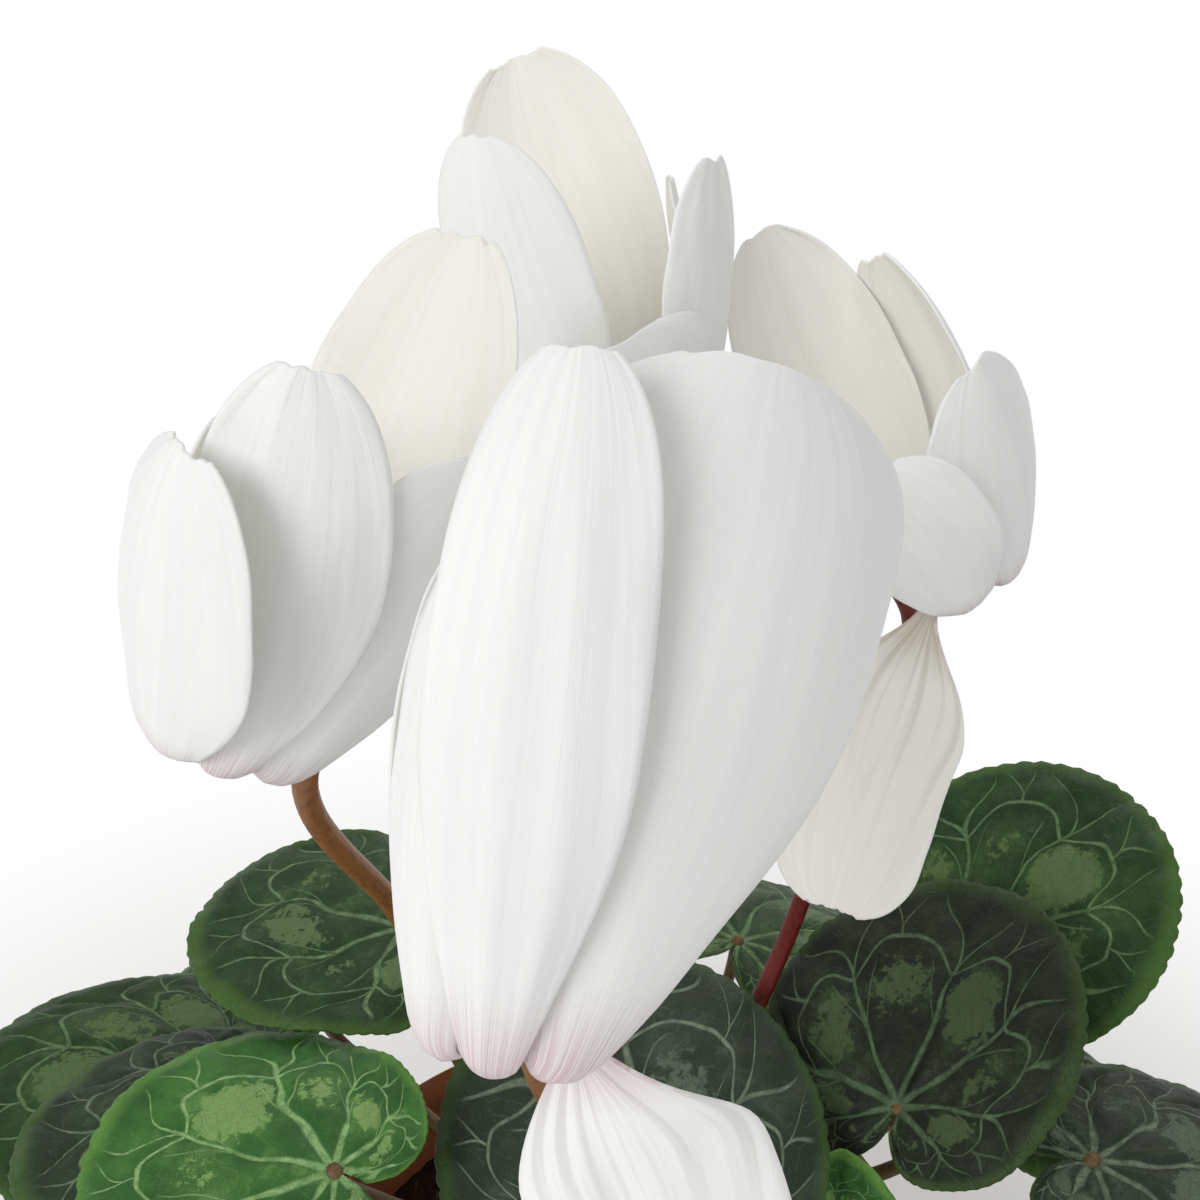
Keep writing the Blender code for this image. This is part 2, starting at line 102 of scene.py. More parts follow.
# The next to last column of a leaf is its painted light and shade, from 0 in shade to 1 in full light.
Leaf = namedtuple("Leaf", "name middle radius heading pitch bank dome fold wave sinus foot tone silver")
Petal = namedtuple("Petal", "azimuth rise curl sweep roll twist length width widest cup tip")
Flower = namedtuple("Flower", "name mouth lean_back lean_side stem_azimuth through foot red petals")

LEAVES = [
    Leaf("leaf_back_left", (-57, 40, 195), 31, 168, 2, 0, 5, 0, 2, 9, (160, 12), 0.3, 0.3),
    Leaf("leaf_far_left", (-101, 26, 164), 36, 176, 5, 4, 6, 0, 1, 9, (180, 19), 0.25, 0.1),
    Leaf("leaf_mid_left", (-86, 2, 177), 30, 190, -2, 4, 5, 0, 1, 9, (195, 12), 0.2, 0.6),
    Leaf("leaf_front_left", (-63, -19, 192), 32, 165, -2, -4, 5, 0, 2, 9, (225, 12), 1.0, 0.1),
    Leaf("leaf_centre", (6, -8, 187), 38, 90, 15, 0, 5, 0, 2, 26, (270, 0), 0.1, 0.9),
    Leaf("leaf_front_low", (-24, -68, 154), 32, 255, -18, 0, 6, 0, 2, 9, (250, 19), 0.3, 0.1),
    Leaf("leaf_low_left", (-82, -62, 144), 31, 215, -16, 0, 6, 0, 2, 9, (213, 19), 0.55, 0.1),
    Leaf("leaf_back_right", (90, 44, 197), 34, 42, 34, 0, 4, 0, 2, 9, (32, 12), 0.35, 0.1),
    Leaf("leaf_right_folded", (66, 15, 186), 33, 60, 28, -16, 2, 6, 2, 9, (5, 12), 0.0, 0.15),
    Leaf("leaf_far_right", (112, -8, 172), 31, -10, -4, 0, 6, 0, 2, 9, (-8, 19), 0.15, 0.8),
    Leaf("leaf_low_right", (72, -50, 154), 31, -40, -14, 0, 6, 0, 2, 9, (-40, 19), 0.3, 0.5),
    Leaf("leaf_front_right", (28, -82, 138), 31, -60, -24, 0, 6, 0, 2, 9, (-75, 19), 0.4, 0.1),
    Leaf("leaf_rear_left", (-86, 74, 146), 33, 142, -18, 0, 6, 0, 2, 9, (138, 19), 0.5, 0.1),
    Leaf("leaf_rear", (-26, 92, 152), 33, 105, -16, 0, 6, 0, 2, 9, (100, 19), 0.4, 0.5),
    Leaf("leaf_rear_right", (42, 84, 155), 35, 62, -18, 0, 6, 0, 2, 9, (66, 19), 0.3, 0.1),
    Leaf("leaf_right_hanging", (100, 46, 146), 33, 22, -22, 0, 6, 0, 2, 9, (28, 19), 0.25, 0.1),
    Leaf("leaf_curled", (46, -10, 163), 12, 80, 68, 10, 0, 9, 1, 12, (-20, 13), 1.0, 0.1),
    Leaf("leaf_withered", (46, 17, 167), 9, 230, 70, 0, -2, 5, 2, 12, (18, 14.5), 0.5, 0.1),
]

# Points that each flower's stem passes, from the flower down, in millimetres.
FRONT_STEM = [(6, -62, 232), (8, -40, 178), (4, -28, 150)]
LEFT_STEM = [(-31, -30, 260), (-30, -6, 224), (-30, 16, 180)]
BACK_STEM = [(-2, 42, 230), (-2, 36, 182)]
RIGHT_STEM = [(45, 30, 224), (36, 28, 188)]

FLOWERS = [
    Flower("flower_front", (-8, -97, 307), 30, 12, 164, FRONT_STEM, (-60, 8), False, [
        Petal(-12, 60, 36, -2, 4, 0, 70, 18, 0.55, 34, 3.2),
        Petal(24, 64, 34, 2, 8, 0, 72, 37, 0.62, 52, 5.5),
        Petal(-43, 74, 34, 0, -6, 0, 54, 15, 0.55, 46, 2.4),
        Petal(214, 70, 34, 0, 8, 0, 54, 16, 0.55, 46, 2.4),
        Petal(112, -54, -16, -14, 55, 0, 47, 26, 0.42, 22, 2.4),
    ]),
    Flower("flower_left", (-44, -53, 309), 15, 26, 102, LEFT_STEM, (170, 5), False, [
        Petal(-35, 57, 37, 2, 12, 0, 47, 27, 0.5, 40, 2.4),
        Petal(5, 67, 32, -14, 10, 0, 58, 22, 0.6, 36, 2.4),
        Petal(52, 66, 34, 0, 10, 0, 54, 30, 0.6, 45, 4),
        Petal(152, 70, 22, 8, 10, 0, 74, 32, 0.6, 40, 2.4),
        Petal(-122, 73, 34, 0, -8, 0, 42, 24, 0.55, 44, 2.4),
    ]),
    Flower("flower_back", (7, 40, 303), 5, -20, -125, BACK_STEM, (90, 7), False, [
        Petal(-45, 76, 16, 17, -20, 0, 72, 29, 0.55, 44, 2.4),
        Petal(68, 62, 22, 10, 10, 0, 57, 24, 0.6, 40, 2.4),
        Petal(106, 71, 20, 0, 8, 0, 52, 16, 0.55, 36, 2.4),
        Petal(178, 72, 12, 0, 8, 0, 78, 38, 0.6, 52, 2.4),
        Petal(11, 57, 30, 0, 0, 0, 38, 32, 0.6, 46, 8),
    ]),
    Flower("flower_right", (61, 20, 288), 12, -33, -110, RIGHT_STEM, (20, 7), True, [
        Petal(-5, 62, 20, 0, 8, 0, 42, 25, 0.55, 36, 4),
        Petal(54, 62, 34, 0, 10, 0, 46, 30, 0.55, 46, 2.4),
        Petal(128, 68, 34, 0, 10, 0, 64, 29, 0.55, 44, 2.4),
        Petal(-162, 72, 26, -6, 10, 0, 77, 30, 0.55, 46, 2.4),
        Petal(-70, -35, -12, 0, 45, 0, 58, 28, 0.42, 20, 6),
    ]),
]


def smoothstep(x):
    """0 below 0, 1 above 1, and smooth between."""
    x = np.clip(x, 0, 1)
    return x * x * (3 - 2 * x)


def wobble(x, y, seed):
    """A smooth, irregular field between about -1 and 1."""
    rng = np.random.default_rng(seed)
    total = np.zeros(np.broadcast(x, y).shape)
    for k in range(1, 7):
        a, b = rng.uniform(-1, 1, 2) * k
        total = total + np.sin(a * x + b * y + rng.uniform(0, 2 * pi)) / k**0.7
    return total / 2.2


# Meshes -----


def add_mesh(name, points, faces, replaced=(), attributes=None, material=None):
    """A smooth-shaded piece that rides on the root body and stands for the replaced CAD nodes."""
    mesh = bpy.data.meshes.new(name)
    mesh.from_pydata(np.asarray(points).tolist(), [], faces)
    for key, values in (attributes or {}).items():
        values = np.asarray(values, float)
        kind, field = ("FLOAT_VECTOR", "vector") if values.ndim == 2 else ("FLOAT", "value")
        mesh.attributes.new(key, kind, "POINT").data.foreach_set(field, values.ravel())
    shape = bmesh.new()
    shape.from_mesh(mesh)
    bmesh.ops.remove_doubles(shape, verts=shape.verts, dist=2e-6)
    bmesh.ops.recalc_face_normals(shape, faces=shape.faces)
    shape.to_mesh(mesh)
    shape.free()
    mesh.shade_smooth()
    mesh.materials.append(material)
    made = bpy.data.objects.new(name, mesh)
    bpy.context.scene.collection.objects.link(made)
    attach(made, "root")
    if replaced:
        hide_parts(*replaced)
    return made


def grid_faces(rows, columns, start=0, flip=False, closed=False):
    """Quads of a grid of points; closed joins its last column to its first."""
    faces = []
    for r in range(rows - 1):
        for c in range(columns if closed else columns - 1):
            d = (c + 1) % columns
            face = (r * columns + c, r * columns + d, (r + 1) * columns + d, (r + 1) * columns + c)
            faces.append(tuple(start + i for i in (face[::-1] if flip else face)))
    return faces


def grid_normals(grid):
    """Unit normals at the points of a grid."""
    across = np.gradient(grid, axis=1)
    along = np.gradient(grid, axis=0)
    normal = np.cross(across, along)
    length = np.linalg.norm(normal, axis=2, keepdims=True)
    normal = normal / np.maximum(length, 1e-12)
    normal[0] = normal[1]
    return normal


def thick_sheet(grid, thickness):
    """Points, faces and side (+1 or -1) of a closed sheet round a grid, with a rounded rim."""
    rows, columns = grid.shape[:2]
    normal = grid_normals(grid)
    half = thickness / 2
    top, low = grid + normal * half, grid - normal * half
    points = np.concatenate([top.reshape(-1, 3), low.reshape(-1, 3)])
    count = rows * columns
    faces = grid_faces(rows, columns) + grid_faces(rows, columns, count, flip=True)
    ring = [c for c in range(columns)]
    ring += [r * columns + columns - 1 for r in range(1, rows)]
    ring += [(rows - 1) * columns + c for c in range(columns - 2, -1, -1)]
    ring += [r * columns for r in range(rows - 2, 0, -1)]
    middle = grid.reshape(-1, 3)[ring]
    inward = np.roll(middle, 1, axis=0) - np.roll(middle, -1, axis=0)
    outward = np.cross(inward, normal.reshape(-1, 3)[ring])
    outward /= np.maximum(np.linalg.norm(outward, axis=1, keepdims=True), 1e-12)
    towards = middle - grid.reshape(-1, 3).mean(0)
    outward *= np.sign((outward * towards).sum(1, keepdims=True) + 1e-9)
    edge = middle + outward * half * 0.8
    points = np.concatenate([points, edge])
    total = len(ring)
    for i in range(total):
        j = (i + 1) % total
        faces.append((ring[j], ring[i], 2 * count + i, 2 * count + j))
        faces.append((2 * count + j, 2 * count + i, count + ring[i], count + ring[j]))
    side = np.concatenate([np.ones(count), -np.ones(count), np.zeros(total)])
    source = np.concatenate([np.arange(count), np.arange(count), np.array(ring)])
    return points, faces, side, source


def lathe(profile, steps, lobes=0, ripple=None):
    """Points and faces of a closed ring of (radius, height, lobe) turned about +Z."""
    points, rings = [], []
    for radius, height, *lobe in profile:
        ring = []
        for i in range(steps if radius > 0 else 1):
            angle = 2 * pi * i / steps
            level = height + (lobe[0] * cos(lobes * angle) if lobe else 0)
            grown = radius * (1 + (ripple(angle, height) if ripple else 0))
            ring.append(len(points))
            points.append((grown * cos(angle), grown * sin(angle), level))
        rings.append(ring)
    faces = []
    for low, high in zip(rings, rings[1:] + rings[:1]):
        for i in range(steps):
            j = (i + 1) % steps
            corners = [low[i % len(low)], low[j % len(low)], high[j % len(high)], high[i % len(high)]]
            corners = list(dict.fromkeys(corners))
            if len(corners) > 2:
                faces.append(tuple(corners))
    return np.array(points), faces


def rounded(profile, count):
    """The profile's corners softened: points of a curve that passes close to each."""
    profile = np.array(profile, float)
    out = [profile[0]]
    for a, b, c in zip(profile, profile[1:], profile[2:]):
        reach = 0.3 * min(np.linalg.norm(b - a), np.linalg.norm(c - b))
        start = b + (a - b) / np.linalg.norm(a - b) * reach
        end = b + (c - b) / np.linalg.norm(c - b) * reach
        for t in np.linspace(0, 1, count):
            out.append((1 - t) ** 2 * start + 2 * t * (1 - t) * b + t**2 * end)
    out.append(profile[-1])
    return [tuple(p) for p in out]


def place(points, origin, axes):
    """Points given along three axes, put in the plant's frame."""
    right, front, up = axes
    return np.array(origin) + points[:, :1] * right + points[:, 1:2] * front + points[:, 2:3] * up


def smooth_path(knots, count):
    """Points of a smooth curve through the knots, closer together where the knots are."""
    knots = np.array(knots, float)
    steps = np.linalg.norm(np.diff(knots, axis=0), axis=1) ** 0.5
    at = np.concatenate([[0], np.cumsum(steps)])
    slopes = np.gradient(knots, at, axis=0)
    wanted = np.linspace(0, at[-1], count)
    k = np.clip(np.searchsorted(at, wanted) - 1, 0, len(steps) - 1)
    span = steps[k][:, None]
    t = (wanted - at[k])[:, None] / span
    low = (1 + 2 * t) * (1 - t) ** 2 * knots[k] + t * (1 - t) ** 2 * span * slopes[k]
    return low + t**2 * (3 - 2 * t) * knots[k + 1] + t**2 * (t - 1) * span * slopes[k + 1]


def tube(path, radii, sides, flatten=0.0):
    """Points and faces of a closed round stalk along a path from its level foot."""
    tangents = np.gradient(path, axis=0)
    tangents[0] = (0, 0, 1)
    tangents /= np.linalg.norm(tangents, axis=1, keepdims=True)
    across = np.cross(tangents[0], (0.3, 0.9, 0.1))
    points = []
    for at, along, radius in zip(path, tangents, radii):
        across = across - along * (across @ along)
        across /= np.linalg.norm(across)
        beside = np.cross(along, across)
        for i in range(sides):
            angle = 2 * pi * i / sides
            grown = radius * (1 + 0.04 * cos(3 * angle))
            points.append(at + grown * (cos(angle) * across + (1 - flatten) * sin(angle) * beside))
    faces = grid_faces(len(path), sides, closed=True)
    last = (len(path) - 1) * sides
    faces.append(tuple(range(sides)))
    faces.append(tuple(range(last, last + sides)))
    return np.array(points), faces


# Materials -----


def rgb(code):
    """Linear colour of a hex code."""
    values = [int(code[i : i + 2], 16) / 255 for i in (0, 2, 4)]
    return (*[v / 12.92 if v <= 0.04045 else ((v + 0.055) / 1.055) ** 2.4 for v in values], 1)


class Shader:
    """A material under construction: each method adds a node and returns its output."""

    def __init__(self, name, roughness=0.5, **sockets):
        self.material = bpy.data.materials.new(name)
        self.material.use_nodes = True
        self.tree = self.material.node_tree
        self.surface = self.tree.nodes["Principled BSDF"]
        self.surface.inputs["Roughness"].default_value = roughness
        for key, value in sockets.items():
            self.surface.inputs[key.replace("_", " ")].default_value = value

    def node(self, kind, inputs=None, **settings):
        made = self.tree.nodes.new(kind)
        for key, value in settings.items():
            setattr(made, key, value)
        for key, value in (inputs or {}).items():
            self.feed(made.inputs[key], value)
        return made

    def feed(self, socket, value):
        if isinstance(value, bpy.types.NodeSocket):
            self.tree.links.new(value, socket)
        else:
            socket.default_value = value

    def math(self, operation, *values):
        made = self.node("ShaderNodeMath", dict(enumerate(values)), operation=operation)
        return made.outputs[0]

    def step(self, value, low, high):
        """0 below low and 1 above high, smoothly."""
        inputs = {"Value": value, "From Min": low, "From Max": high}
        made = self.node("ShaderNodeMapRange", inputs, interpolation_type="SMOOTHSTEP")
        return made.outputs[0]

    def line(self, distance, width):
        """1 on a line and 0 beyond its half width."""
        return self.math("SUBTRACT", 1.0, self.step(self.math("DIVIDE", distance, width), 0.35, 1.0))

    def mix(self, share, first, second):
        made = self.node("ShaderNodeMix", data_type="RGBA")
        self.feed(made.inputs[0], share)
        self.feed(made.inputs[6], first)
        self.feed(made.inputs[7], second)
        return made.outputs[2]

    def attribute(self, name):
        return self.node("ShaderNodeAttribute", attribute_name=name)

    def stretched(self, vector, scale):
        made = self.node("ShaderNodeMapping", {"Vector": vector, "Scale": scale})
        return made.outputs[0]

    def noise(self, vector, scale, detail=3.0, roughness=0.5):
        inputs = {"Vector": vector, "Scale": scale, "Detail": detail, "Roughness": roughness}
        return self.node("ShaderNodeTexNoise", inputs).outputs[0]

    def position(self):
        return self.node("ShaderNodeNewGeometry").outputs["Position"]

    def bump(self, height, distance, strength=1.0):
        inputs = {"Height": height, "Distance": distance, "Strength": strength}
        made = self.node("ShaderNodeBump", inputs)
        self.tree.links.new(made.outputs[0], self.surface.inputs["Normal"])

    def colour(self, value):
        self.feed(self.surface.inputs["Base Color"], value)
        return self.material

    def roughness(self, value):
        self.feed(self.surface.inputs["Roughness"], value)


def vein_lines(s, turn, share, radius, ragged):
    """1 on the veins: main veins and their forks, the loops that join them, outer spurs and side veins."""
    near = s.math("PINGPONG", turn, 0.5)
    arc = s.math("MULTIPLY", radius, 2 * pi / PRIMARY_VEINS)

    def off(at):
        return s.math("MULTIPLY", s.math("ABSOLUTE", s.math("SUBTRACT", near, at)), arc)

    fork = s.math("MULTIPLY", s.step(share, FORK_FROM, FORK_TO), FORK_SPREAD)
    main = s.line(off(fork), s.math("MULTIPLY", s.math("SUBTRACT", 1.35, share), MAIN_VEIN))
    crest = s.math("ADD", LOOP_AT, s.math("MULTIPLY", s.step(near, 0.0, 0.42), LOOP_SAG))
    beyond = s.math("ABSOLUTE", s.math("SUBTRACT", share, crest))
    loop = s.line(s.math("MULTIPLY", beyond, 1.2), LOOP_VEIN)
    spur_fork = s.math("SUBTRACT", 0.5, s.math("MULTIPLY", s.step(share, SPUR_FROM + 0.04, 0.95), 0.13))
    spur = s.math("MULTIPLY", s.line(off(spur_fork), SPUR_VEIN), s.step(share, SPUR_FROM, SPUR_FROM + 0.03))
    side_at = s.math("MULTIPLY", s.math("SUBTRACT", share, SIDE_FROM), 0.95)
    side = s.math("MULTIPLY", s.line(off(side_at), SIDE_VEIN), s.step(share, SIDE_FROM, SIDE_FROM + 0.04))
    side = s.math("MULTIPLY", side, s.math("SUBTRACT", 1.0, s.step(share, SIDE_TO - 0.06, SIDE_TO)))
    small = s.math("MAXIMUM", spur, s.math("MULTIPLY", side, 0.7))
    veins = s.math("MAXIMUM", s.math("MAXIMUM", main, loop), small)
    ends = s.math("SUBTRACT", 1.0, s.step(share, VEINS_FADE, 0.95))
    broken = s.math("ADD", 0.45, s.math("MULTIPLY", s.step(ragged, 0.35, 0.6), 0.55))
    return s.math("MULTIPLY", s.math("MULTIPLY", veins, ends), broken)


def silver_patches(s, turn, share, seed, ragged, cloud):
    """1 on ragged patches that lie between main veins, of a chance size in each gap."""
    draw = s.math("ADD", s.math("FLOOR", turn), seed)
    chance = s.node("ShaderNodeTexWhiteNoise", {"W": draw}, noise_dimensions="1D").outputs["Value"]
    middle = s.math("SUBTRACT", 0.5, s.math("PINGPONG", turn, 0.5))
    across = s.math("POWER", s.math("DIVIDE", middle, PATCH_WIDTH), 2.0)
    centred = s.math("SUBTRACT", share, s.math("ADD", PATCH_AT, s.math("MULTIPLY", cloud, 0.12)))
    along = s.math("POWER", s.math("ABSOLUTE", s.math("DIVIDE", centred, PATCH_DEPTH)), 2.0)
    torn = s.math("MULTIPLY", s.math("SUBTRACT", ragged, 0.5), 7.5)
    spot = s.math("ADD", s.math("ADD", across, along), torn)
    size = s.math("SUBTRACT", s.math("MULTIPLY", chance, 3.0), 0.6)
    return s.math("SUBTRACT", 1.0, s.step(s.math("SUBTRACT", spot, size), -0.3, 0.3))


def leaf_material():
    """Green with a net of pale veins and a ring of silver-green patches. Each leaf's light and shade is
    painted into its colour, from shaded to lit.
    """
    s = Shader("leaf", 0.5, Specular_IOR_Level=0.28)
    local = s.attribute("local").outputs["Vector"]
    net = s.node("ShaderNodeSeparateXYZ", {"Vector": s.attribute("net").outputs["Vector"]})
    turn, share, radius = net.outputs["X"], net.outputs["Y"], net.outputs["Z"]
    tone = s.attribute("tone").outputs["Fac"]
    silver = s.attribute("silver").outputs["Fac"]
    under = s.attribute("under").outputs["Fac"]
    seed = s.math("MULTIPLY", s.node("ShaderNodeSeparateXYZ", {"Vector": local}).outputs["Z"], 17.0)
    grain = s.noise(local, 46.0, 4.0, 0.65)
    cloud = s.noise(local, 3.5, 4.0, 0.6)
    ragged = s.noise(local, 13.0, 5.0, 0.7)
    veins = vein_lines(s, turn, share, radius, ragged)
    patch = silver_patches(s, turn, share, seed, ragged, cloud)
    cells = s.node("ShaderNodeTexVoronoi", {"Vector": local, "Scale": 13.0}, feature="DISTANCE_TO_EDGE")
    threads = s.math("SUBTRACT", 1.0, s.step(cells.outputs["Distance"], 0.0, 0.035))
    haze = s.math("MULTIPLY", s.step(cloud, 0.5, 0.62), s.step(ragged, 0.42, 0.6))
    haze = s.math("MULTIPLY", haze, s.math("SUBTRACT", 1.0, s.step(share, 0.7, 0.85)))
    margin = s.step(share, 0.90, 1.0)

    # Painted light and shade: each leaf's colours run from dark where it is shaded to bright where it is
    # lit.
    dark = s.mix(tone, rgb("0b1306"), rgb("2c5f24"))
    full = s.mix(tone, rgb("1a280d"), rgb("437a33"))
    grey = s.mix(cloud, rgb("222d22"), rgb("38453a"))
    pale = s.mix(silver, s.mix(tone, rgb("54704a"), rgb("a3cf88")), rgb("84947e"))
    light = s.mix(silver, s.mix(tone, rgb("43592f"), rgb("8bb066")), rgb("5c6c5c"))
    rim = s.mix(tone, rgb("46652a"), rgb("78a848"))
    shade = s.mix(s.step(cloud, 0.35, 0.65), dark, full)
    shade = s.mix(s.math("MULTIPLY", silver, 0.85), shade, grey)
    layers = [
        (grain, 0.25, dark),
        (haze, 0.30, light),
        (patch, 0.8, light),
        (threads, 0.10, pale),
        (veins, 0.78, pale),
        (margin, 0.45, rim),
    ]
    for mask, strength, colour in layers:
        shade = s.mix(s.math("MULTIPLY", mask, strength), shade, colour)
    shade = s.mix(under, shade, s.mix(veins, rgb("66805c"), rgb("8a6a62")))
    height = s.math("SUBTRACT", s.math("MULTIPLY", grain, 0.35), s.math("MULTIPLY", veins, 0.8))
    height = s.math("SUBTRACT", height, s.math("MULTIPLY", threads, 0.25))
    s.bump(height, 0.0005, 0.8)
    s.roughness(s.math("ADD", 0.42, s.math("MULTIPLY", grain, 0.2)))
    return s.colour(shade)


def petal_material():
    """White, flushed pink at the foot, with painted cream light on the inner faces and painted grey shade
    in the rib grooves; only a hanging petal shows clear ribs.
    """
    s = Shader("petal", 0.5, Specular_IOR_Level=0.3, Subsurface_Weight=0.2, Subsurface_Scale=0.004)
    s.surface.inputs["Subsurface Radius"].default_value = (1.0, 0.95, 0.85)
    local = s.attribute("local").outputs["Vector"]
    inner_glow_face = s.attribute("under").outputs["Fac"]
    ribbed = s.attribute("ribbed").outputs["Fac"]
    along = s.node("ShaderNodeSeparateXYZ", {"Vector": local}).outputs["X"]
    ribs = s.noise(s.stretched(local, (1.0, 9.0, 1.0)), 1.0, 3.0, 0.55)
    threads = s.noise(s.stretched(local, (1.6, 46.0, 1.0)), 1.0, 3.0, 0.6)
    broad = s.noise(s.stretched(local, (1.6, 3.2, 1.0)), 1.0, 2.0)
    cells = s.noise(s.position(), 1400.0, 2.0)
    outer = s.mix(broad, rgb("f3f5f5"), rgb("fcfdfc"))
    # Painted light: the inner faces are cream, as if lit through the petal.
    inner = s.mix(broad, rgb("efede5"), rgb("f8f7f1"))
    shade = s.mix(inner_glow_face, outer, inner)
    # Painted shade in the rib grooves, grey and deepest near the foot of a hanging petal.
    low = s.math("SUBTRACT", 1.0, s.step(along, 0.12, 0.8))
    depth = s.math("ADD", 0.07, s.math("MULTIPLY", s.math("MULTIPLY", low, ribbed), 0.36))
    groove_painted_shade = s.math("MULTIPLY", s.step(ribs, 0.44, 0.62), depth)
    groove_shadow_colour = s.mix(ribbed, s.mix(inner_glow_face, rgb("c9d2d8"), rgb("cfccc0")), rgb("b3afa2"))
    shade = s.mix(groove_painted_shade, shade, groove_shadow_colour)
    shade = s.mix(s.math("MULTIPLY", s.step(threads, 0.52, 0.7), 0.04), shade, rgb("b4b8b8"))
    foot = s.math("SUBTRACT", 1.0, s.step(along, 0.09, 0.27))
    streaked = s.math("ADD", 0.30, s.math("MULTIPLY", s.step(threads, 0.4, 0.62), 0.5))
    foot = s.math("MULTIPLY", foot, streaked)
    shade = s.mix(foot, shade, s.mix(inner_glow_face, rgb("c495a4"), rgb("b9a68c")))
    folds = s.math("MULTIPLY", ribs, s.math("ADD", 0.16, s.math("MULTIPLY", ribbed, 0.2)))
    fine = s.math("ADD", s.math("MULTIPLY", threads, 0.06), s.math("MULTIPLY", cells, 0.012))
    s.bump(s.math("ADD", s.math("ADD", folds, broad), fine), 0.0008, 0.5)
    s.roughness(s.math("ADD", 0.44, s.math("MULTIPLY", cells, 0.14)))
    return s.colour(shade)


def stem_material(name, low, high, red):
    """A fleshy stalk: streaks between two colours, with fine red specks."""
    s = Shader(name, 0.42, Specular_IOR_Level=0.45)
    local = s.attribute("local").outputs["Vector"]
    streaks = s.noise(s.stretched(local, (3.0, 14.0, 1.0)), 1.0, 4.0, 0.6)
    specks = s.noise(s.position(), 900.0, 3.0)
    shade = s.mix(streaks, rgb(low), rgb(high))
    shade = s.mix(s.math("MULTIPLY", s.step(specks, 0.5, 0.7), 0.5), shade, rgb(red))
    s.bump(s.math("ADD", streaks, s.math("MULTIPLY", specks, 0.5)), 0.0003, 0.7)
    return s.colour(shade)


def clay_material():
    """Unglazed terracotta: fine sandy grain, faint throwing lines and a pale bloom of lime."""
    s = Shader("clay", 0.86, Specular_IOR_Level=0.25)
    at = s.position()
    grain = s.noise(at, 1100.0, 4.0, 0.7)
    cloud = s.noise(at, 26.0, 5.0, 0.6)
    rings = s.noise(s.stretched(at, (3.0, 3.0, 420.0)), 1.0, 2.0)
    height = s.node("ShaderNodeSeparateXYZ", {"Vector": at}).outputs["Z"]
    shade = s.mix(cloud, rgb("a2593a"), rgb("c27c55"))
    shade = s.mix(s.math("MULTIPLY", grain, 0.35), shade, rgb("8a4a30"))
    lime = s.math("MULTIPLY", s.step(cloud, 0.52, 0.72), s.math("ADD", 0.2, s.step(height, 0.09, 0.0)))
    shade = s.mix(s.math("MULTIPLY", lime, 0.55), shade, rgb("d9bfa8"))
    # Darker towards the bottom, over the lowest 18 mm.
    bottom_band = s.math("SUBTRACT", 1.0, s.step(height, 0.0, 0.018))
    shade = s.mix(s.math("MULTIPLY", bottom_band, 0.4), shade, rgb("6b3a27"))
    s.bump(s.math("ADD", grain, s.math("MULTIPLY", rings, 1.2)), 0.0004, 0.8)
    return s.colour(shade)


def soil_material():
    """Dark compost with pale fibres."""
    s = Shader("soil", 0.95, Specular_IOR_Level=0.15)
    at = s.position()
    crumbs = s.noise(at, 420.0, 6.0, 0.7)
    cloud = s.noise(at, 60.0, 4.0)
    fibres = s.noise(s.stretched(at, (900.0, 120.0, 300.0)), 1.0, 3.0)
    shade = s.mix(crumbs, rgb("1d140f"), rgb("4a372a"))
    shade = s.mix(s.math("MULTIPLY", cloud, 0.5), shade, rgb("2a1d15"))
    shade = s.mix(s.math("MULTIPLY", s.step(fibres, 0.62, 0.7), 0.6), shade, rgb("7d6249"))
    s.bump(crumbs, 0.002, 1.0)
    return s.colour(shade)


def corky_material():
    """Cracked, corky brown skin."""
    s = Shader("corm", 0.85, Specular_IOR_Level=0.2)
    at = s.position()
    plates = s.node("ShaderNodeTexVoronoi", {"Vector": at, "Scale": 260.0}, feature="DISTANCE_TO_EDGE")
    cracks = s.step(plates.outputs["Distance"], 0.0, 0.12)
    rough = s.noise(at, 500.0, 5.0, 0.7)
    shade = s.mix(rough, rgb("4a3020"), rgb("7b5a3f"))
    shade = s.mix(cracks, rgb("23150d"), shade)
    s.bump(s.math("ADD", cracks, rough), 0.0006, 0.9)
    return s.colour(shade)


def dusty_material(name, low, high):
    """A matt, finely grained surface that varies between two colours."""
    s = Shader(name, 0.75, Specular_IOR_Level=0.25)
    at = s.position()
    grain = s.noise(at, 1500.0, 4.0, 0.7)
    cloud = s.noise(at, 220.0, 3.0)
    shade = s.mix(cloud, rgb(low), rgb(high))
    s.bump(grain, 0.0002, 0.8)
    return s.colour(shade)


# Pot, soil and corm -----


def pot_outside(height):
    """Outer radius of the pot's wall below its rim."""
    top = POT_RIM_RADIUS - POT_RIM_STEP
    return POT_BASE_RADIUS + (top - POT_BASE_RADIUS) * height / POT_HEIGHT


def pot_inside(height):
    """Inner radius of the pot."""
    low, high = pot_outside(POT_FLOOR) - POT_WALL, POT_RIM_RADIUS - POT_WALL - 1 * MM
    return low + (high - low) * (height - POT_FLOOR) / (POT_HEIGHT - 1.5 * MM - POT_FLOOR)


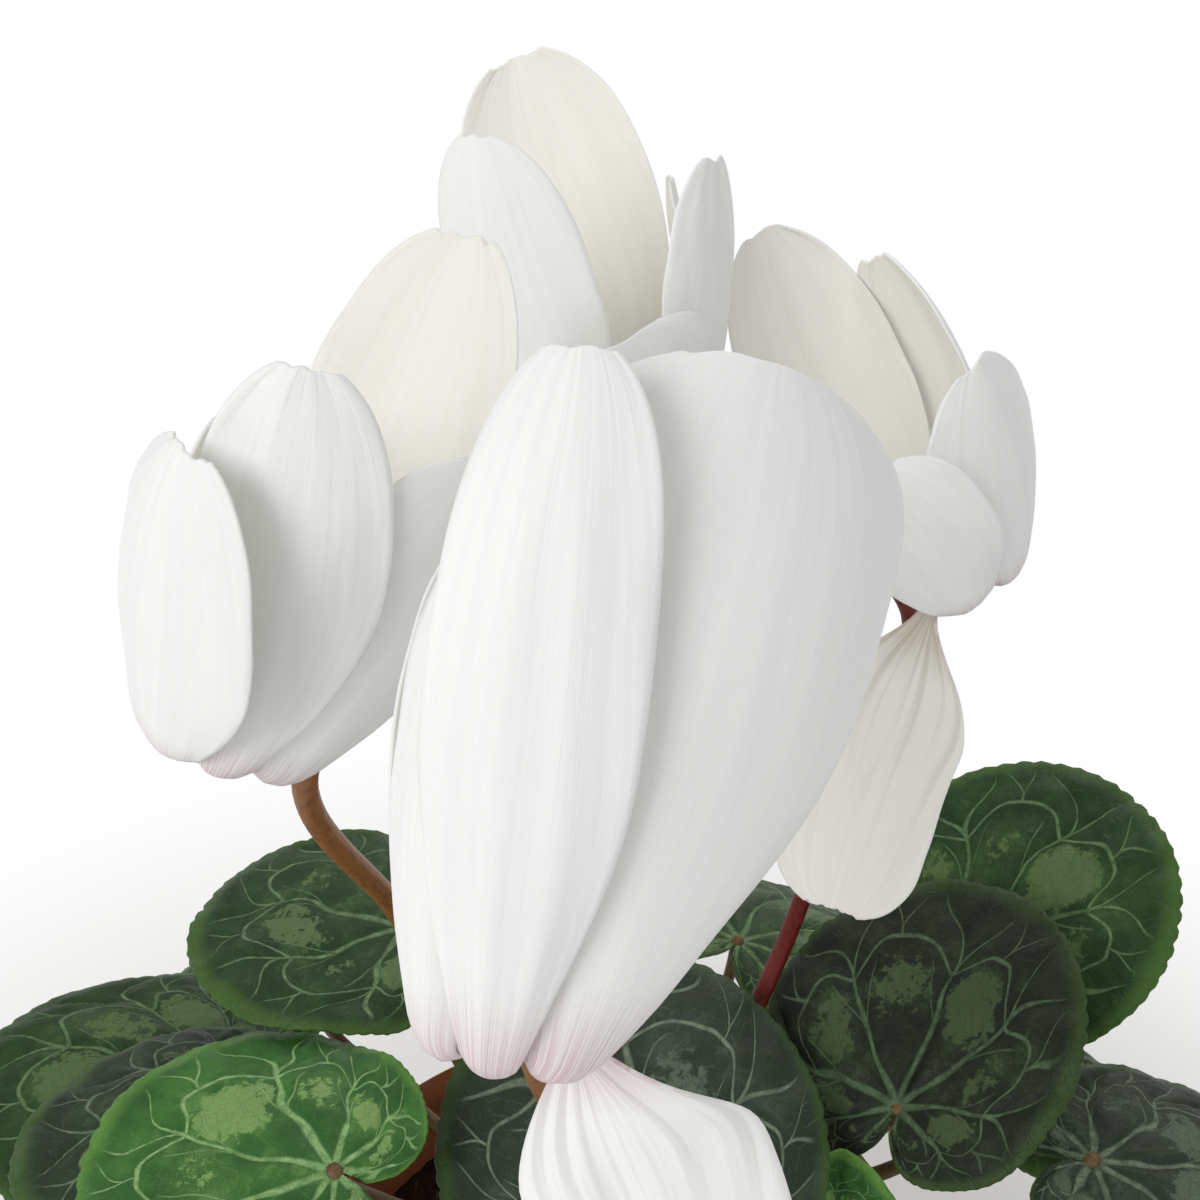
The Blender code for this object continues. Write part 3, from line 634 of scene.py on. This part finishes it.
def make_pot(material):
    """The clay pot, with its drain holes cut through."""
    rim_bottom = POT_HEIGHT - POT_RIM_HEIGHT
    profile = [
        (0, 0),
        (POT_BASE_RADIUS - 2.5 * MM, 0),
        (POT_BASE_RADIUS, 2.5 * MM),
        (pot_outside(rim_bottom), rim_bottom),
        (POT_RIM_RADIUS - 1 * MM, rim_bottom + 1.5 * MM),
        (POT_RIM_RADIUS, POT_HEIGHT - 2.5 * MM),
        (POT_RIM_RADIUS - 2.5 * MM, POT_HEIGHT),
        (POT_RIM_RADIUS - POT_WALL, POT_HEIGHT),
        (POT_RIM_RADIUS - POT_WALL - 1.5 * MM, POT_HEIGHT - 2.5 * MM),
        (pot_outside(POT_FLOOR) - POT_WALL, POT_FLOOR + 2 * MM),
        (pot_outside(POT_FLOOR) - POT_WALL - 3 * MM, POT_FLOOR),
        (0, POT_FLOOR),
    ]
    points, faces = lathe(rounded(profile, 5), 128)
    pot = add_mesh("pot_clay", points, faces, ["pot"], material=material)
    for i in range(DRAIN_HOLES):
        angle = 2 * pi * (i + 0.5) / DRAIN_HOLES
        drill = [(0, -5 * MM), (DRAIN_RADIUS, -5 * MM), (DRAIN_RADIUS, 15 * MM), (0, 15 * MM)]
        points, faces = lathe(drill, 32)
        points += (DRAIN_CIRCLE * cos(angle), DRAIN_CIRCLE * sin(angle), 0)
        cutter_mesh = bpy.data.meshes.new("drill")
        cutter_mesh.from_pydata(points.tolist(), [], faces)
        cutter = bpy.data.objects.new("drill", cutter_mesh)
        bpy.context.scene.collection.objects.link(cutter)
        cut = pot.modifiers.new("drain", "BOOLEAN")
        cut.operation = "DIFFERENCE"
        cut.solver = "EXACT"
        cut.object = cutter
        bpy.context.view_layer.update()
        finished = bpy.data.meshes.new_from_object(pot.evaluated_get(bpy.context.evaluated_depsgraph_get()))
        pot.modifiers.clear()
        pot.data = finished
        bpy.data.objects.remove(cutter, do_unlink=True)
    pot.data.shade_smooth()
    pot.data.set_sharp_from_angle(angle=radians(35))


def make_soil(material):
    """The compost: rough crumbs on top, and a smooth side against the pot."""
    rows, steps = 46, 160
    rng = np.random.default_rng(11)
    rim = pot_inside(SOIL_HEIGHT) - GAP
    radii = np.concatenate([[0], np.linspace(CORM_RADIUS * 0.9, rim, rows - 1)])
    angles = np.linspace(0, 2 * pi, steps, endpoint=False)
    x, y = radii[:, None] * np.cos(angles), radii[:, None] * np.sin(angles)
    mound = SOIL_MOUND * (1 - smoothstep((radii - CORM_RADIUS) / (rim - CORM_RADIUS)))[:, None]
    rough = wobble(x * 260, y * 260, 3) * 0.9 + wobble(x * 700, y * 700, 4) * 0.5
    z = SOIL_HEIGHT + mound + rough * 0.9 * MM + rng.uniform(-0.35, 0.35, x.shape) * MM
    z[0] = CORM_BOTTOM - GAP
    z[1] = z[1] - 1.5 * MM
    points = np.stack([x, y, z], -1).reshape(-1, 3)
    faces = grid_faces(rows, steps, closed=True)
    low = POT_FLOOR + GAP
    foot = pot_inside(low) - 3 * MM
    skirt = np.stack([np.cos(angles) * foot, np.sin(angles) * foot, 0 * angles + low], -1)
    start = (rows - 1) * steps
    points = np.concatenate([points, skirt])
    for c in range(steps):
        d = (c + 1) % steps
        faces.append((start + c, start + d, rows * steps + d, rows * steps + c))
    faces.append(tuple(range(rows * steps, (rows + 1) * steps)))
    add_mesh("compost", points, faces, ["soil"], material=material)
    crumbs(material, rng)


def crumbs(material, rng):
    """Loose crumbs of compost and bark lying on it."""
    shape = bmesh.new()
    bmesh.ops.create_icosphere(shape, subdivisions=1, radius=1)
    base = np.array([v.co[:] for v in shape.verts])
    base_faces = [tuple(v.index for v in f.verts) for f in shape.faces]
    shape.free()
    points, faces = [], []
    rim = pot_inside(SOIL_HEIGHT) - 3 * MM
    for _ in range(420):
        angle = rng.uniform(0, 2 * pi)
        radius = (CORM_RADIUS + 3 * MM) + (rim - CORM_RADIUS - 3 * MM) * rng.uniform(0, 1) ** 0.6
        size = rng.uniform(0.5, 1.7) * MM
        level = SOIL_HEIGHT + SOIL_MOUND * (1 - smoothstep((radius - CORM_RADIUS) / (rim - CORM_RADIUS)))
        shaped = base * rng.uniform(0.6, 1.3, 3) + rng.normal(0, 0.12, base.shape)
        turned = rng.uniform(0, 2 * pi)
        axis = Vector(rng.normal(0, 1, 3)).normalized()
        turn = np.array(Matrix.Rotation(turned, 3, axis))
        at = (radius * cos(angle), radius * sin(angle), level + 0.25 * size)
        start = sum(len(p) for p in points)
        points.append(shaped @ turn * size + at)
        faces += [tuple(start + i for i in f) for f in base_faces]
    made = add_mesh("compost_crumbs", np.concatenate(points), faces, material=material)
    made.data.set_sharp_from_angle(angle=radians(30))


def make_corm(material):
    """The flattened, lumpy tuber."""
    seat = CORM_RADIUS * 0.86
    profile = [
        (0, CORM_BOTTOM),
        (seat * 0.75, CORM_BOTTOM + 5 * MM),
        (seat, SOIL_HEIGHT + SOIL_MOUND),
        (CORM_RADIUS * 0.95, CORM_TOP - 2.5 * MM),
        (CORM_RADIUS * 0.84, CORM_TOP - 0.2 * MM),
        (0, CORM_TOP),
    ]

    def lumps(angle, height):
        return 0.02 * sin(5 * angle + 300 * height) + 0.015 * sin(11 * angle - 500 * height)

    points, faces = lathe(rounded(profile, 7), 96, ripple=lumps)
    add_mesh("corm_skin", points, faces, ["corm"], material=material)


def corm_point(azimuth, radius):
    """Where a stalk stands on the corm; the radius is in millimetres."""
    angle = radians(azimuth)
    return np.array([radius * MM * cos(angle), radius * MM * sin(angle), CORM_TOP + GAP])


# Leaves -----


def leaf_axes(leaf):
    """Unit vectors to the leaf's tip, across it and out of its upper side."""
    heading, pitch, bank = (radians(a) for a in (leaf.heading, leaf.pitch, leaf.bank))
    tip = np.array([cos(heading) * cos(pitch), sin(heading) * cos(pitch), sin(pitch)])
    level = np.array([-sin(heading), cos(heading), 0])
    above = np.cross(tip, level)
    across = cos(bank) * level + sin(bank) * above
    return tip, across, np.cross(tip, across)


def leaf_outline(angle):
    """Reach of the margin from the joint, for a leaf of radius 1 with a notch behind."""
    s = SINUS_SHIFT
    disc = s * np.cos(angle) + np.sqrt(1 - (s * np.sin(angle)) ** 2)
    point = 0.05 * np.exp(-((angle / 0.35) ** 2))
    notch = 1 - 0.75 * np.exp(-(((pi - np.abs(angle)) / 0.42) ** 2))
    return (disc + point) * notch


def vein_net(share, angle, seed):
    """A point's place in the net of veins: its turn, with a main vein at each whole number, and share."""
    swing = 0.16 * wobble(share * 4.5, angle * 2.2, seed) * smoothstep(share / 0.3)
    turn = (angle + swing) * PRIMARY_VEINS / (2 * pi)
    return turn, share + 0.045 * wobble(angle * 3.0, share * 2.5, seed + 7) * smoothstep(share / 0.4)


def vein_distance(turn, share, reach):
    """Distance to the nearest main vein or fork, as a share of the vein's half width."""
    near = np.abs(turn - np.round(turn))
    fork = FORK_SPREAD * smoothstep((share - FORK_FROM) / (FORK_TO - FORK_FROM))
    off = np.abs(near - fork) * 2 * pi / PRIMARY_VEINS * reach
    return off / 0.016


def make_leaf(leaf, number, material, stalk_material):
    """A leaf's blade with sunken veins and toothed margin, and its stalk."""
    small = leaf.radius < 15
    rows, spokes = (22, 90) if small else (44, 208)
    ends = pi - radians(leaf.sinus)
    angle = np.linspace(-ends, ends, spokes + 1)[None, :] + np.zeros((rows, 1))
    share = (np.linspace(0.0, 1, rows) ** 0.85)[:, None] + 0 * angle
    tip, across, out = leaf_axes(leaf)
    radius = leaf.radius * MM
    teeth = 74
    wander = 0.024 * wobble(angle * 2.6, angle * 0, number)
    serration = 0.018 * np.abs(np.sin(angle * teeth / 2 + 0.6 * np.sin(angle * 3 + number))) ** 0.7
    toothed = (serration - 0.012) * smoothstep((share - 0.86) / 0.14)
    outline = leaf_outline(angle) * (0.985 + wander + toothed)
    reach = share * outline
    x, y = reach * np.cos(angle), reach * np.sin(angle)
    from_middle = np.sqrt((x - SINUS_SHIFT) ** 2 + y**2)
    turn, shifted = vein_net(share, angle, number)
    veins = vein_distance(turn, shifted, reach)
    rise = -leaf.dome * MM * from_middle**2 + leaf.fold * MM * np.abs(y)
    rise = rise + leaf.wave * MM * share**3 * np.sin(3 * angle + leaf.heading)
    rise = rise + 1.3 * MM * share**1.5 * wobble(x * 3.6, y * 3.6, number + 50)
    quilt = smoothstep(veins / 6) * smoothstep(share / 0.15) * (1 - smoothstep((share - 0.9) / 0.1))
    rise = rise + (0.75 * quilt - 0.4) * MM * (0.4 if small else 1)
    rise = rise + 0.25 * MM * wobble(x * 22, y * 22, number + 90) * smoothstep(share / 0.2)
    joint = np.array(leaf.middle) * MM - SINUS_SHIFT * radius * tip
    grid = joint + radius * (x[..., None] * tip + y[..., None] * across) + rise[..., None] * out
    points, faces, side, source = thick_sheet(grid, BLADE_THICKNESS)
    up_side = np.sign((grid_normals(grid) * out).sum(2).mean())
    attributes = {
        "local": np.stack([x, y, 0 * x + number], -1).reshape(-1, 3)[source],
        "net": np.stack([turn, shifted, reach], -1).reshape(-1, 3)[source],
        "tone": np.full(len(points), leaf.tone),
        "silver": np.full(len(points), leaf.silver),
        "under": np.where(side * up_side < 0, 1.0, 0.0),
    }
    add_mesh(leaf.name + "_blade", points, faces, [leaf.name], attributes, material)

    foot = corm_point(*leaf.foot)
    length = np.linalg.norm(joint - foot)
    drop = min(0.22 * length, joint[2] - STALK_CLEARS)
    under = joint - out * drop - tip * 0.06 * length
    spring = foot + np.array([0.12 * joint[0], 0.12 * joint[1], 0.3 * (joint[2] - foot[2])])
    path = smooth_path([foot, spring, under, joint - out * 0.3 * MM], 40)
    radii = np.linspace(1.15, 0.8, len(path)) * LEAF_STALK_RADIUS
    radii[-6:] *= np.array([1.0, 1.02, 1.08, 1.15, 1.2, 0.9])
    points, faces = tube(path, radii, 14)
    along = tube_attributes(path, 14, number)
    add_mesh(leaf.name + "_stalk", points, faces, (), along, stalk_material)


def tube_attributes(path, sides, number):
    """Places along and round a tube, for its material."""
    along = np.repeat(np.cumsum(np.linalg.norm(np.gradient(path, axis=0), axis=1)) * 100, sides)
    around = np.tile(np.abs(np.linspace(-1, 1, sides)), len(path))
    return {"local": np.stack([along + number, around, 0 * along], -1)}


# Flowers -----


def flower_axes(flower):
    """Unit vectors to the flower's front, right and up, leaned as the table says."""
    back, side = radians(flower.lean_back), radians(flower.lean_side)
    up = np.array([sin(side) * cos(back), sin(back), cos(side) * cos(back)])
    front = np.array([0, -1.0, 0])
    front -= up * (front @ up)
    front /= np.linalg.norm(front)
    return front, np.cross(front, up) * -1, up


def petal_half_width(share, widest, tip):
    """Half width along a petal, as a share of its widest."""
    growing = 0.16 + 0.84 * smoothstep(share / widest) ** 0.85
    ending = np.sqrt(np.clip(1 - (np.clip(share - widest, 0, 1) / (1 - widest)) ** tip, 0, 1))
    return np.where(share < widest, growing, ending)


def petal_surface(flower, petal, rows, columns, number):
    """Middle surface of the petal, with its share of the length and of the half width at each point."""
    front, right, up = flower_axes(flower)
    azimuth = radians(petal.azimuth)
    out = cos(azimuth) * front + sin(azimuth) * right
    beside = -sin(azimuth) * front + cos(azimuth) * right
    share = np.linspace(0, 1, 400)
    start = radians(-40)
    reached = share * petal.length * MM
    angle = start + (radians(petal.rise) - start) * smoothstep(reached / PETAL_TURN)
    angle = angle + radians(petal.curl) * (reached / PETAL_CURL_LENGTH) ** 1.5
    sideways = radians(petal.sweep) * smoothstep(share / 0.8)
    ahead = np.cos(angle)[:, None] * out + np.sin(angle)[:, None] * up
    facing = np.sin(angle)[:, None] * out - np.cos(angle)[:, None] * up
    along = np.cos(sideways)[:, None] * ahead + np.sin(sideways)[:, None] * beside
    level = -np.sin(sideways)[:, None] * ahead + np.cos(sideways)[:, None] * beside
    foot = np.array(flower.mouth) * MM + out * (TUBE_MOUTH_RADIUS - 0.2 * MM) - up * (0.3 * MM + GAP)
    step = petal.length * MM / (len(share) - 1)
    spine = foot + np.concatenate([[np.zeros(3)], np.cumsum(along[:-1], axis=0)]) * step
    roll = radians(petal.roll) * smoothstep(reached / (18 * MM)) + radians(petal.twist) * share
    across = np.cos(roll)[:, None] * level + np.sin(roll)[:, None] * facing
    normal = -np.sin(roll)[:, None] * level + np.cos(roll)[:, None] * facing
    wanted = 0.985 * np.sin(np.linspace(0, 1, rows) * pi / 2) ** 0.9

    def pick(values):
        return np.stack([np.interp(wanted, share, values[:, k]) for k in range(3)], -1)

    spine, across, normal = pick(spine), pick(across), pick(normal)
    half = petal_half_width(wanted, petal.widest, petal.tip) * petal.width * MM / 2
    bend = radians(petal.cup) * (1 - 0.3 * wanted) + radians(28) * (1 - smoothstep(wanted / 0.2))
    v = np.linspace(-1, 1, columns)
    u = wanted[:, None] + 0 * v
    reach = np.sin(bend[:, None] * v) / bend[:, None] * half[:, None]
    drop = (1 - np.cos(bend[:, None] * v)) / bend[:, None] * half[:, None]
    reach = reach * (1 + 0.025 * wobble(u * 7, np.sign(v) * 2, number) * np.abs(v) ** 3)
    soft = 0.45 * wobble(u * 3 + v, v * 1.8 - u, number + 20) * smoothstep(u / 0.35)
    broadness = (half / half.max())[:, None]
    deep = 0.13 if petal.rise < 0 else 0.02
    fading = smoothstep(u / 0.2) * (1 - 0.7 * u) * broadness
    ribs = deep * np.sin(v * 15 + 3 * wobble(u * 2, v, number + 40)) * fading
    frill = 0.5 * np.abs(v) ** 6 * wobble(u * 9, v, number + 60) * smoothstep(u / 0.4)
    lift = (soft + ribs + frill) * MM
    end = 0.7 * MM * wobble(v * 3, v, number + 80) * smoothstep((u - 0.7) / 0.3)
    grid = spine[:, None] + reach[..., None] * across[:, None] + (lift - drop)[..., None] * normal[:, None]
    tip_way = pick(along)[:, None]
    grid = grid + end[..., None] * tip_way
    return grid, u, v + 0 * u, out, up


def make_petals(flower, number, material):
    """The five petals, with their inner faces marked for the material."""
    for k, (letter, petal) in enumerate(zip("abcde", flower.petals)):
        seed = number * 10 + k
        grid, u, v, out, up = petal_surface(flower, petal, 64, 33, seed)
        points, faces, side, source = thick_sheet(grid, PETAL_THICKNESS)
        normal = grid_normals(grid)[30, 16]
        facing = sin(radians(petal.rise)) * out - cos(radians(petal.rise)) * up
        outside = np.sign(normal @ facing)
        local = np.stack([u, v * (0.45 + 0.55 * u), 0 * u + seed], -1).reshape(-1, 3)[source]
        attributes = {
            "local": local,
            # Marks the inner faces, which the petal material paints cream as light shining through.
            "under": np.where(side * outside < 0, 1.0, 0.0),
            "ribbed": np.full(len(points), 1.0 if petal.rise < 0 else 0.0),
        }
        name = f"{flower.name}_petal_{letter}"
        add_mesh(name + "_white", points, faces, [name], attributes, material)


def make_flower(flower, number, materials):
    """A flower's tube, calyx, stamens, stem and petals."""
    front, right, up = flower_axes(flower)
    axes = (front, right, up)
    mouth = np.array(flower.mouth) * MM
    length, radius = TUBE_LENGTH, TUBE_MOUTH_RADIUS
    tube_profile = [
        (0, length - 1.5 * MM),
        (radius * 0.6, length * 0.78),
        (radius * 0.98, length * 0.4),
        (radius * 0.82, 0.1 * MM),
        (radius, 0),
        (radius * 1.2, length * 0.4),
        (radius * 1.0, length * 0.85),
        (radius * 0.45, length),
        (0, length),
    ]
    points, faces = lathe(rounded(tube_profile, 5), 60, ripple=lambda a, h: 0.015 * cos(5 * a))
    local = {"local": points * 20, "under": np.zeros(len(points))}
    name = flower.name + "_tube"
    points = place(points, mouth, axes)
    add_mesh(flower.name + "_throat", points, faces, [name], local, materials["petal"])

    inner = [(r + 2 * GAP, h) for r, h in ((radius * 1.2, length * 0.42), (radius, length * 0.87))]
    top = length + GAP
    calyx_profile = [
        (0, top),
        (radius * 0.45 + GAP, top),
        inner[1],
        (inner[0][0], inner[0][1] + 1 * MM, -1.5 * MM),
        (inner[0][0] + 0.3 * MM, inner[0][1] + 0.6 * MM, -1.9 * MM),
        (inner[0][0] + 0.7 * MM, inner[0][1] + 1.1 * MM, -1.5 * MM),
        (inner[0][0] + 0.9 * MM, inner[0][1] + 2.4 * MM, -0.6 * MM),
        (inner[1][0] + 1.1 * MM, length * 0.85),
        (radius * 0.75, top + 0.9 * MM),
        (radius * 0.5, top + 1.2 * MM),
        (0, top + 1.2 * MM),
    ]
    points, faces = lathe(calyx_profile, 80, lobes=5, ripple=lambda a, h: 0.02 * cos(10 * a))
    name = flower.name + "_calyx"
    points = place(points, mouth, axes)
    add_mesh(flower.name + "_sepals", points, faces, [name], None, materials["calyx"])

    stamen_profile = [
        (0, -2.4 * MM),
        (0.5 * MM, -2.2 * MM),
        (0.45 * MM, -0.5 * MM),
        (0.7 * MM, 0.2 * MM),
        (1.9 * MM, 3.5 * MM),
        (1.5 * MM, length * 0.7),
        (0, length - 1.5 * MM - GAP),
    ]

    def anthers(angle, height):
        return 0.12 * abs(cos(2.5 * angle)) * (height > 0)

    points, faces = lathe(rounded(stamen_profile, 4), 50, ripple=anthers)
    name = flower.name + "_stamens"
    points = place(points, mouth, axes)
    add_mesh(name + "_cone", points, faces, [name], None, materials["stamens"])

    azimuth = radians(flower.stem_azimuth)
    out = cos(azimuth) * front + sin(azimuth) * right
    begin = mouth + up * (TUBE_LENGTH + 1.2 * MM + 2 * GAP)
    foot = corm_point(*flower.foot)
    knots = [
        foot,
        foot + np.array([0, 0, 8 * MM]),
        *[np.array(point) * MM for point in reversed(flower.through)],
        begin - up * 16 * MM + out * 11.5 * MM,
        begin - up * 3 * MM + out * 11 * MM,
        begin + up * 5 * MM + out * 8 * MM,
        begin + up * 6 * MM + out * 3 * MM,
        begin + up * 3 * MM,
        begin,
    ]
    path = smooth_path(knots, 120)
    radii = np.linspace(1.15, 0.8, len(path)) * FLOWER_STEM_RADIUS
    points, faces = tube(path, radii, 20)
    name = flower.name + "_stem"
    along = tube_attributes(path, 20, number)
    skin = materials["red_stem" if flower.red else "brown_stem"]
    add_mesh(name + "_skin", points, faces, [name], along, skin)
    make_petals(flower, number, materials["petal"])


# Floor, light and camera -----


WHITE_FROM = 0.16  # distance from the pot's middle where the floor starts to show plain white
WHITE_FULL = 0.42
WORLD_STRENGTH = 0.46
# Name, place, size, power in watts and tint.
LAMPS = [
    ("key", (-0.80, -0.85, 0.95), 0.8, 9.2, (1.0, 0.99, 0.97)),
    ("fill", (0.95, -0.55, 0.75), 1.0, 1.2, (1.0, 1.0, 1.0)),
    ("back", (0.35, 0.95, 0.95), 0.9, 4.5, (1.0, 0.97, 0.92)),
]
CAMERA_AT = (0.0, -0.19, 0.405)
CAMERA_DOWN = 30
CAMERA_VIEW = 46
LAMPS_AIM = (0, 0, 0.27)


def make_floor():
    """A pale floor that takes the plant's shadow near it and is plain white further off."""
    size = 12.0
    mesh = bpy.data.meshes.new("floor")
    corners = [(-size, -size, 0), (size, -size, 0), (size, size, 0), (-size, size, 0)]
    mesh.from_pydata(corners, [], [(0, 1, 2, 3)])
    floor = bpy.data.objects.new("floor", mesh)
    bpy.context.scene.collection.objects.link(floor)
    s = Shader("floor", 0.9, Specular_IOR_Level=0.0)
    s.colour(rgb("f4f4f3"))
    glow = s.node("ShaderNodeEmission", {"Color": (1, 1, 1, 1), "Strength": 1.0})
    rays = s.node("ShaderNodeLightPath")
    seen = s.math("MAXIMUM", rays.outputs["Is Camera Ray"], rays.outputs["Is Glossy Ray"])
    seen = s.math("MAXIMUM", seen, rays.outputs["Is Transmission Ray"])
    distance = s.node("ShaderNodeVectorMath", {0: s.position()}, operation="LENGTH").outputs["Value"]
    share = s.math("MULTIPLY", seen, s.step(distance, WHITE_FROM, WHITE_FULL))
    blend = s.node("ShaderNodeMixShader")
    s.tree.links.new(share, blend.inputs[0])
    s.tree.links.new(s.surface.outputs[0], blend.inputs[1])
    s.tree.links.new(glow.outputs[0], blend.inputs[2])
    s.tree.links.new(blend.outputs[0], s.tree.nodes["Material Output"].inputs["Surface"])
    mesh.materials.append(s.material)


def make_world():
    """Soft light from all round; the camera sees plain white."""
    world = bpy.data.worlds.new("studio")
    world.use_nodes = True
    bpy.context.scene.world = world
    tree = world.node_tree
    rays = tree.nodes.new("ShaderNodeLightPath")
    white = tree.nodes.new("ShaderNodeBackground")
    white.inputs["Color"].default_value = (1, 1, 1, 1)
    white.inputs["Strength"].default_value = 1.0
    soft = tree.nodes["Background"]
    soft.inputs["Color"].default_value = (1.0, 1.0, 0.99, 1)
    soft.inputs["Strength"].default_value = WORLD_STRENGTH
    blend = tree.nodes.new("ShaderNodeMixShader")
    tree.links.new(rays.outputs["Is Camera Ray"], blend.inputs[0])
    tree.links.new(soft.outputs[0], blend.inputs[1])
    tree.links.new(white.outputs[0], blend.inputs[2])
    tree.links.new(blend.outputs[0], tree.nodes["World Output"].inputs["Surface"])


def make_lamps():
    """Area lamps aimed at the plant."""
    aim = Vector(LAMPS_AIM)
    for name, at, size, power, tint in LAMPS:
        data = bpy.data.lights.new(name, "AREA")
        data.shape = "SQUARE"
        data.size = size
        data.energy = power
        data.color = tint
        lamp = bpy.data.objects.new(name, data)
        lamp.location = at
        lamp.rotation_euler = (aim - Vector(at)).to_track_quat("-Z", "Y").to_euler()
        bpy.context.scene.collection.objects.link(lamp)


def make_camera():
    """The camera, at the height and slope that show the flowers from above the front."""
    data = bpy.data.cameras.new("camera")
    data.sensor_width = 36
    data.lens = 18 / tan(radians(CAMERA_VIEW / 2))
    data.clip_start = 0.01
    camera = bpy.data.objects.new("camera", data)
    camera.location = CAMERA_AT
    camera.rotation_euler = (radians(90 - CAMERA_DOWN), 0, 0)
    bpy.context.scene.collection.objects.link(camera)
    bpy.context.scene.camera = camera


def main():
    """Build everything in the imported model's frame."""
    bpy.context.scene.view_settings.view_transform = "Standard"
    make_camera()
    make_world()
    make_lamps()
    make_floor()
    materials = {
        "petal": petal_material(),
        "calyx": dusty_material("calyx", "5a4a2a", "86763f"),
        "stamens": dusty_material("stamens", "9a6a2c", "c9a455"),
        "brown_stem": stem_material("brown_stem", "6e3c14", "94602c", "4d220d"),
        "red_stem": stem_material("red_stem", "4e0d0a", "7d1f14", "2d0605"),
    }
    leaf_stalk = stem_material("leaf_stalk", "5d3a25", "7d6a3c", "4a1f18")
    blade = leaf_material()
    withered = dusty_material("withered", "6d5234", "cdbf97")
    make_pot(clay_material())
    make_soil(soil_material())
    make_corm(corky_material())
    for number, leaf in enumerate(LEAVES):
        make_leaf(leaf, number, withered if leaf.name == "leaf_withered" else blade, leaf_stalk)
    for number, flower in enumerate(FLOWERS):
        make_flower(flower, number, materials)


main()
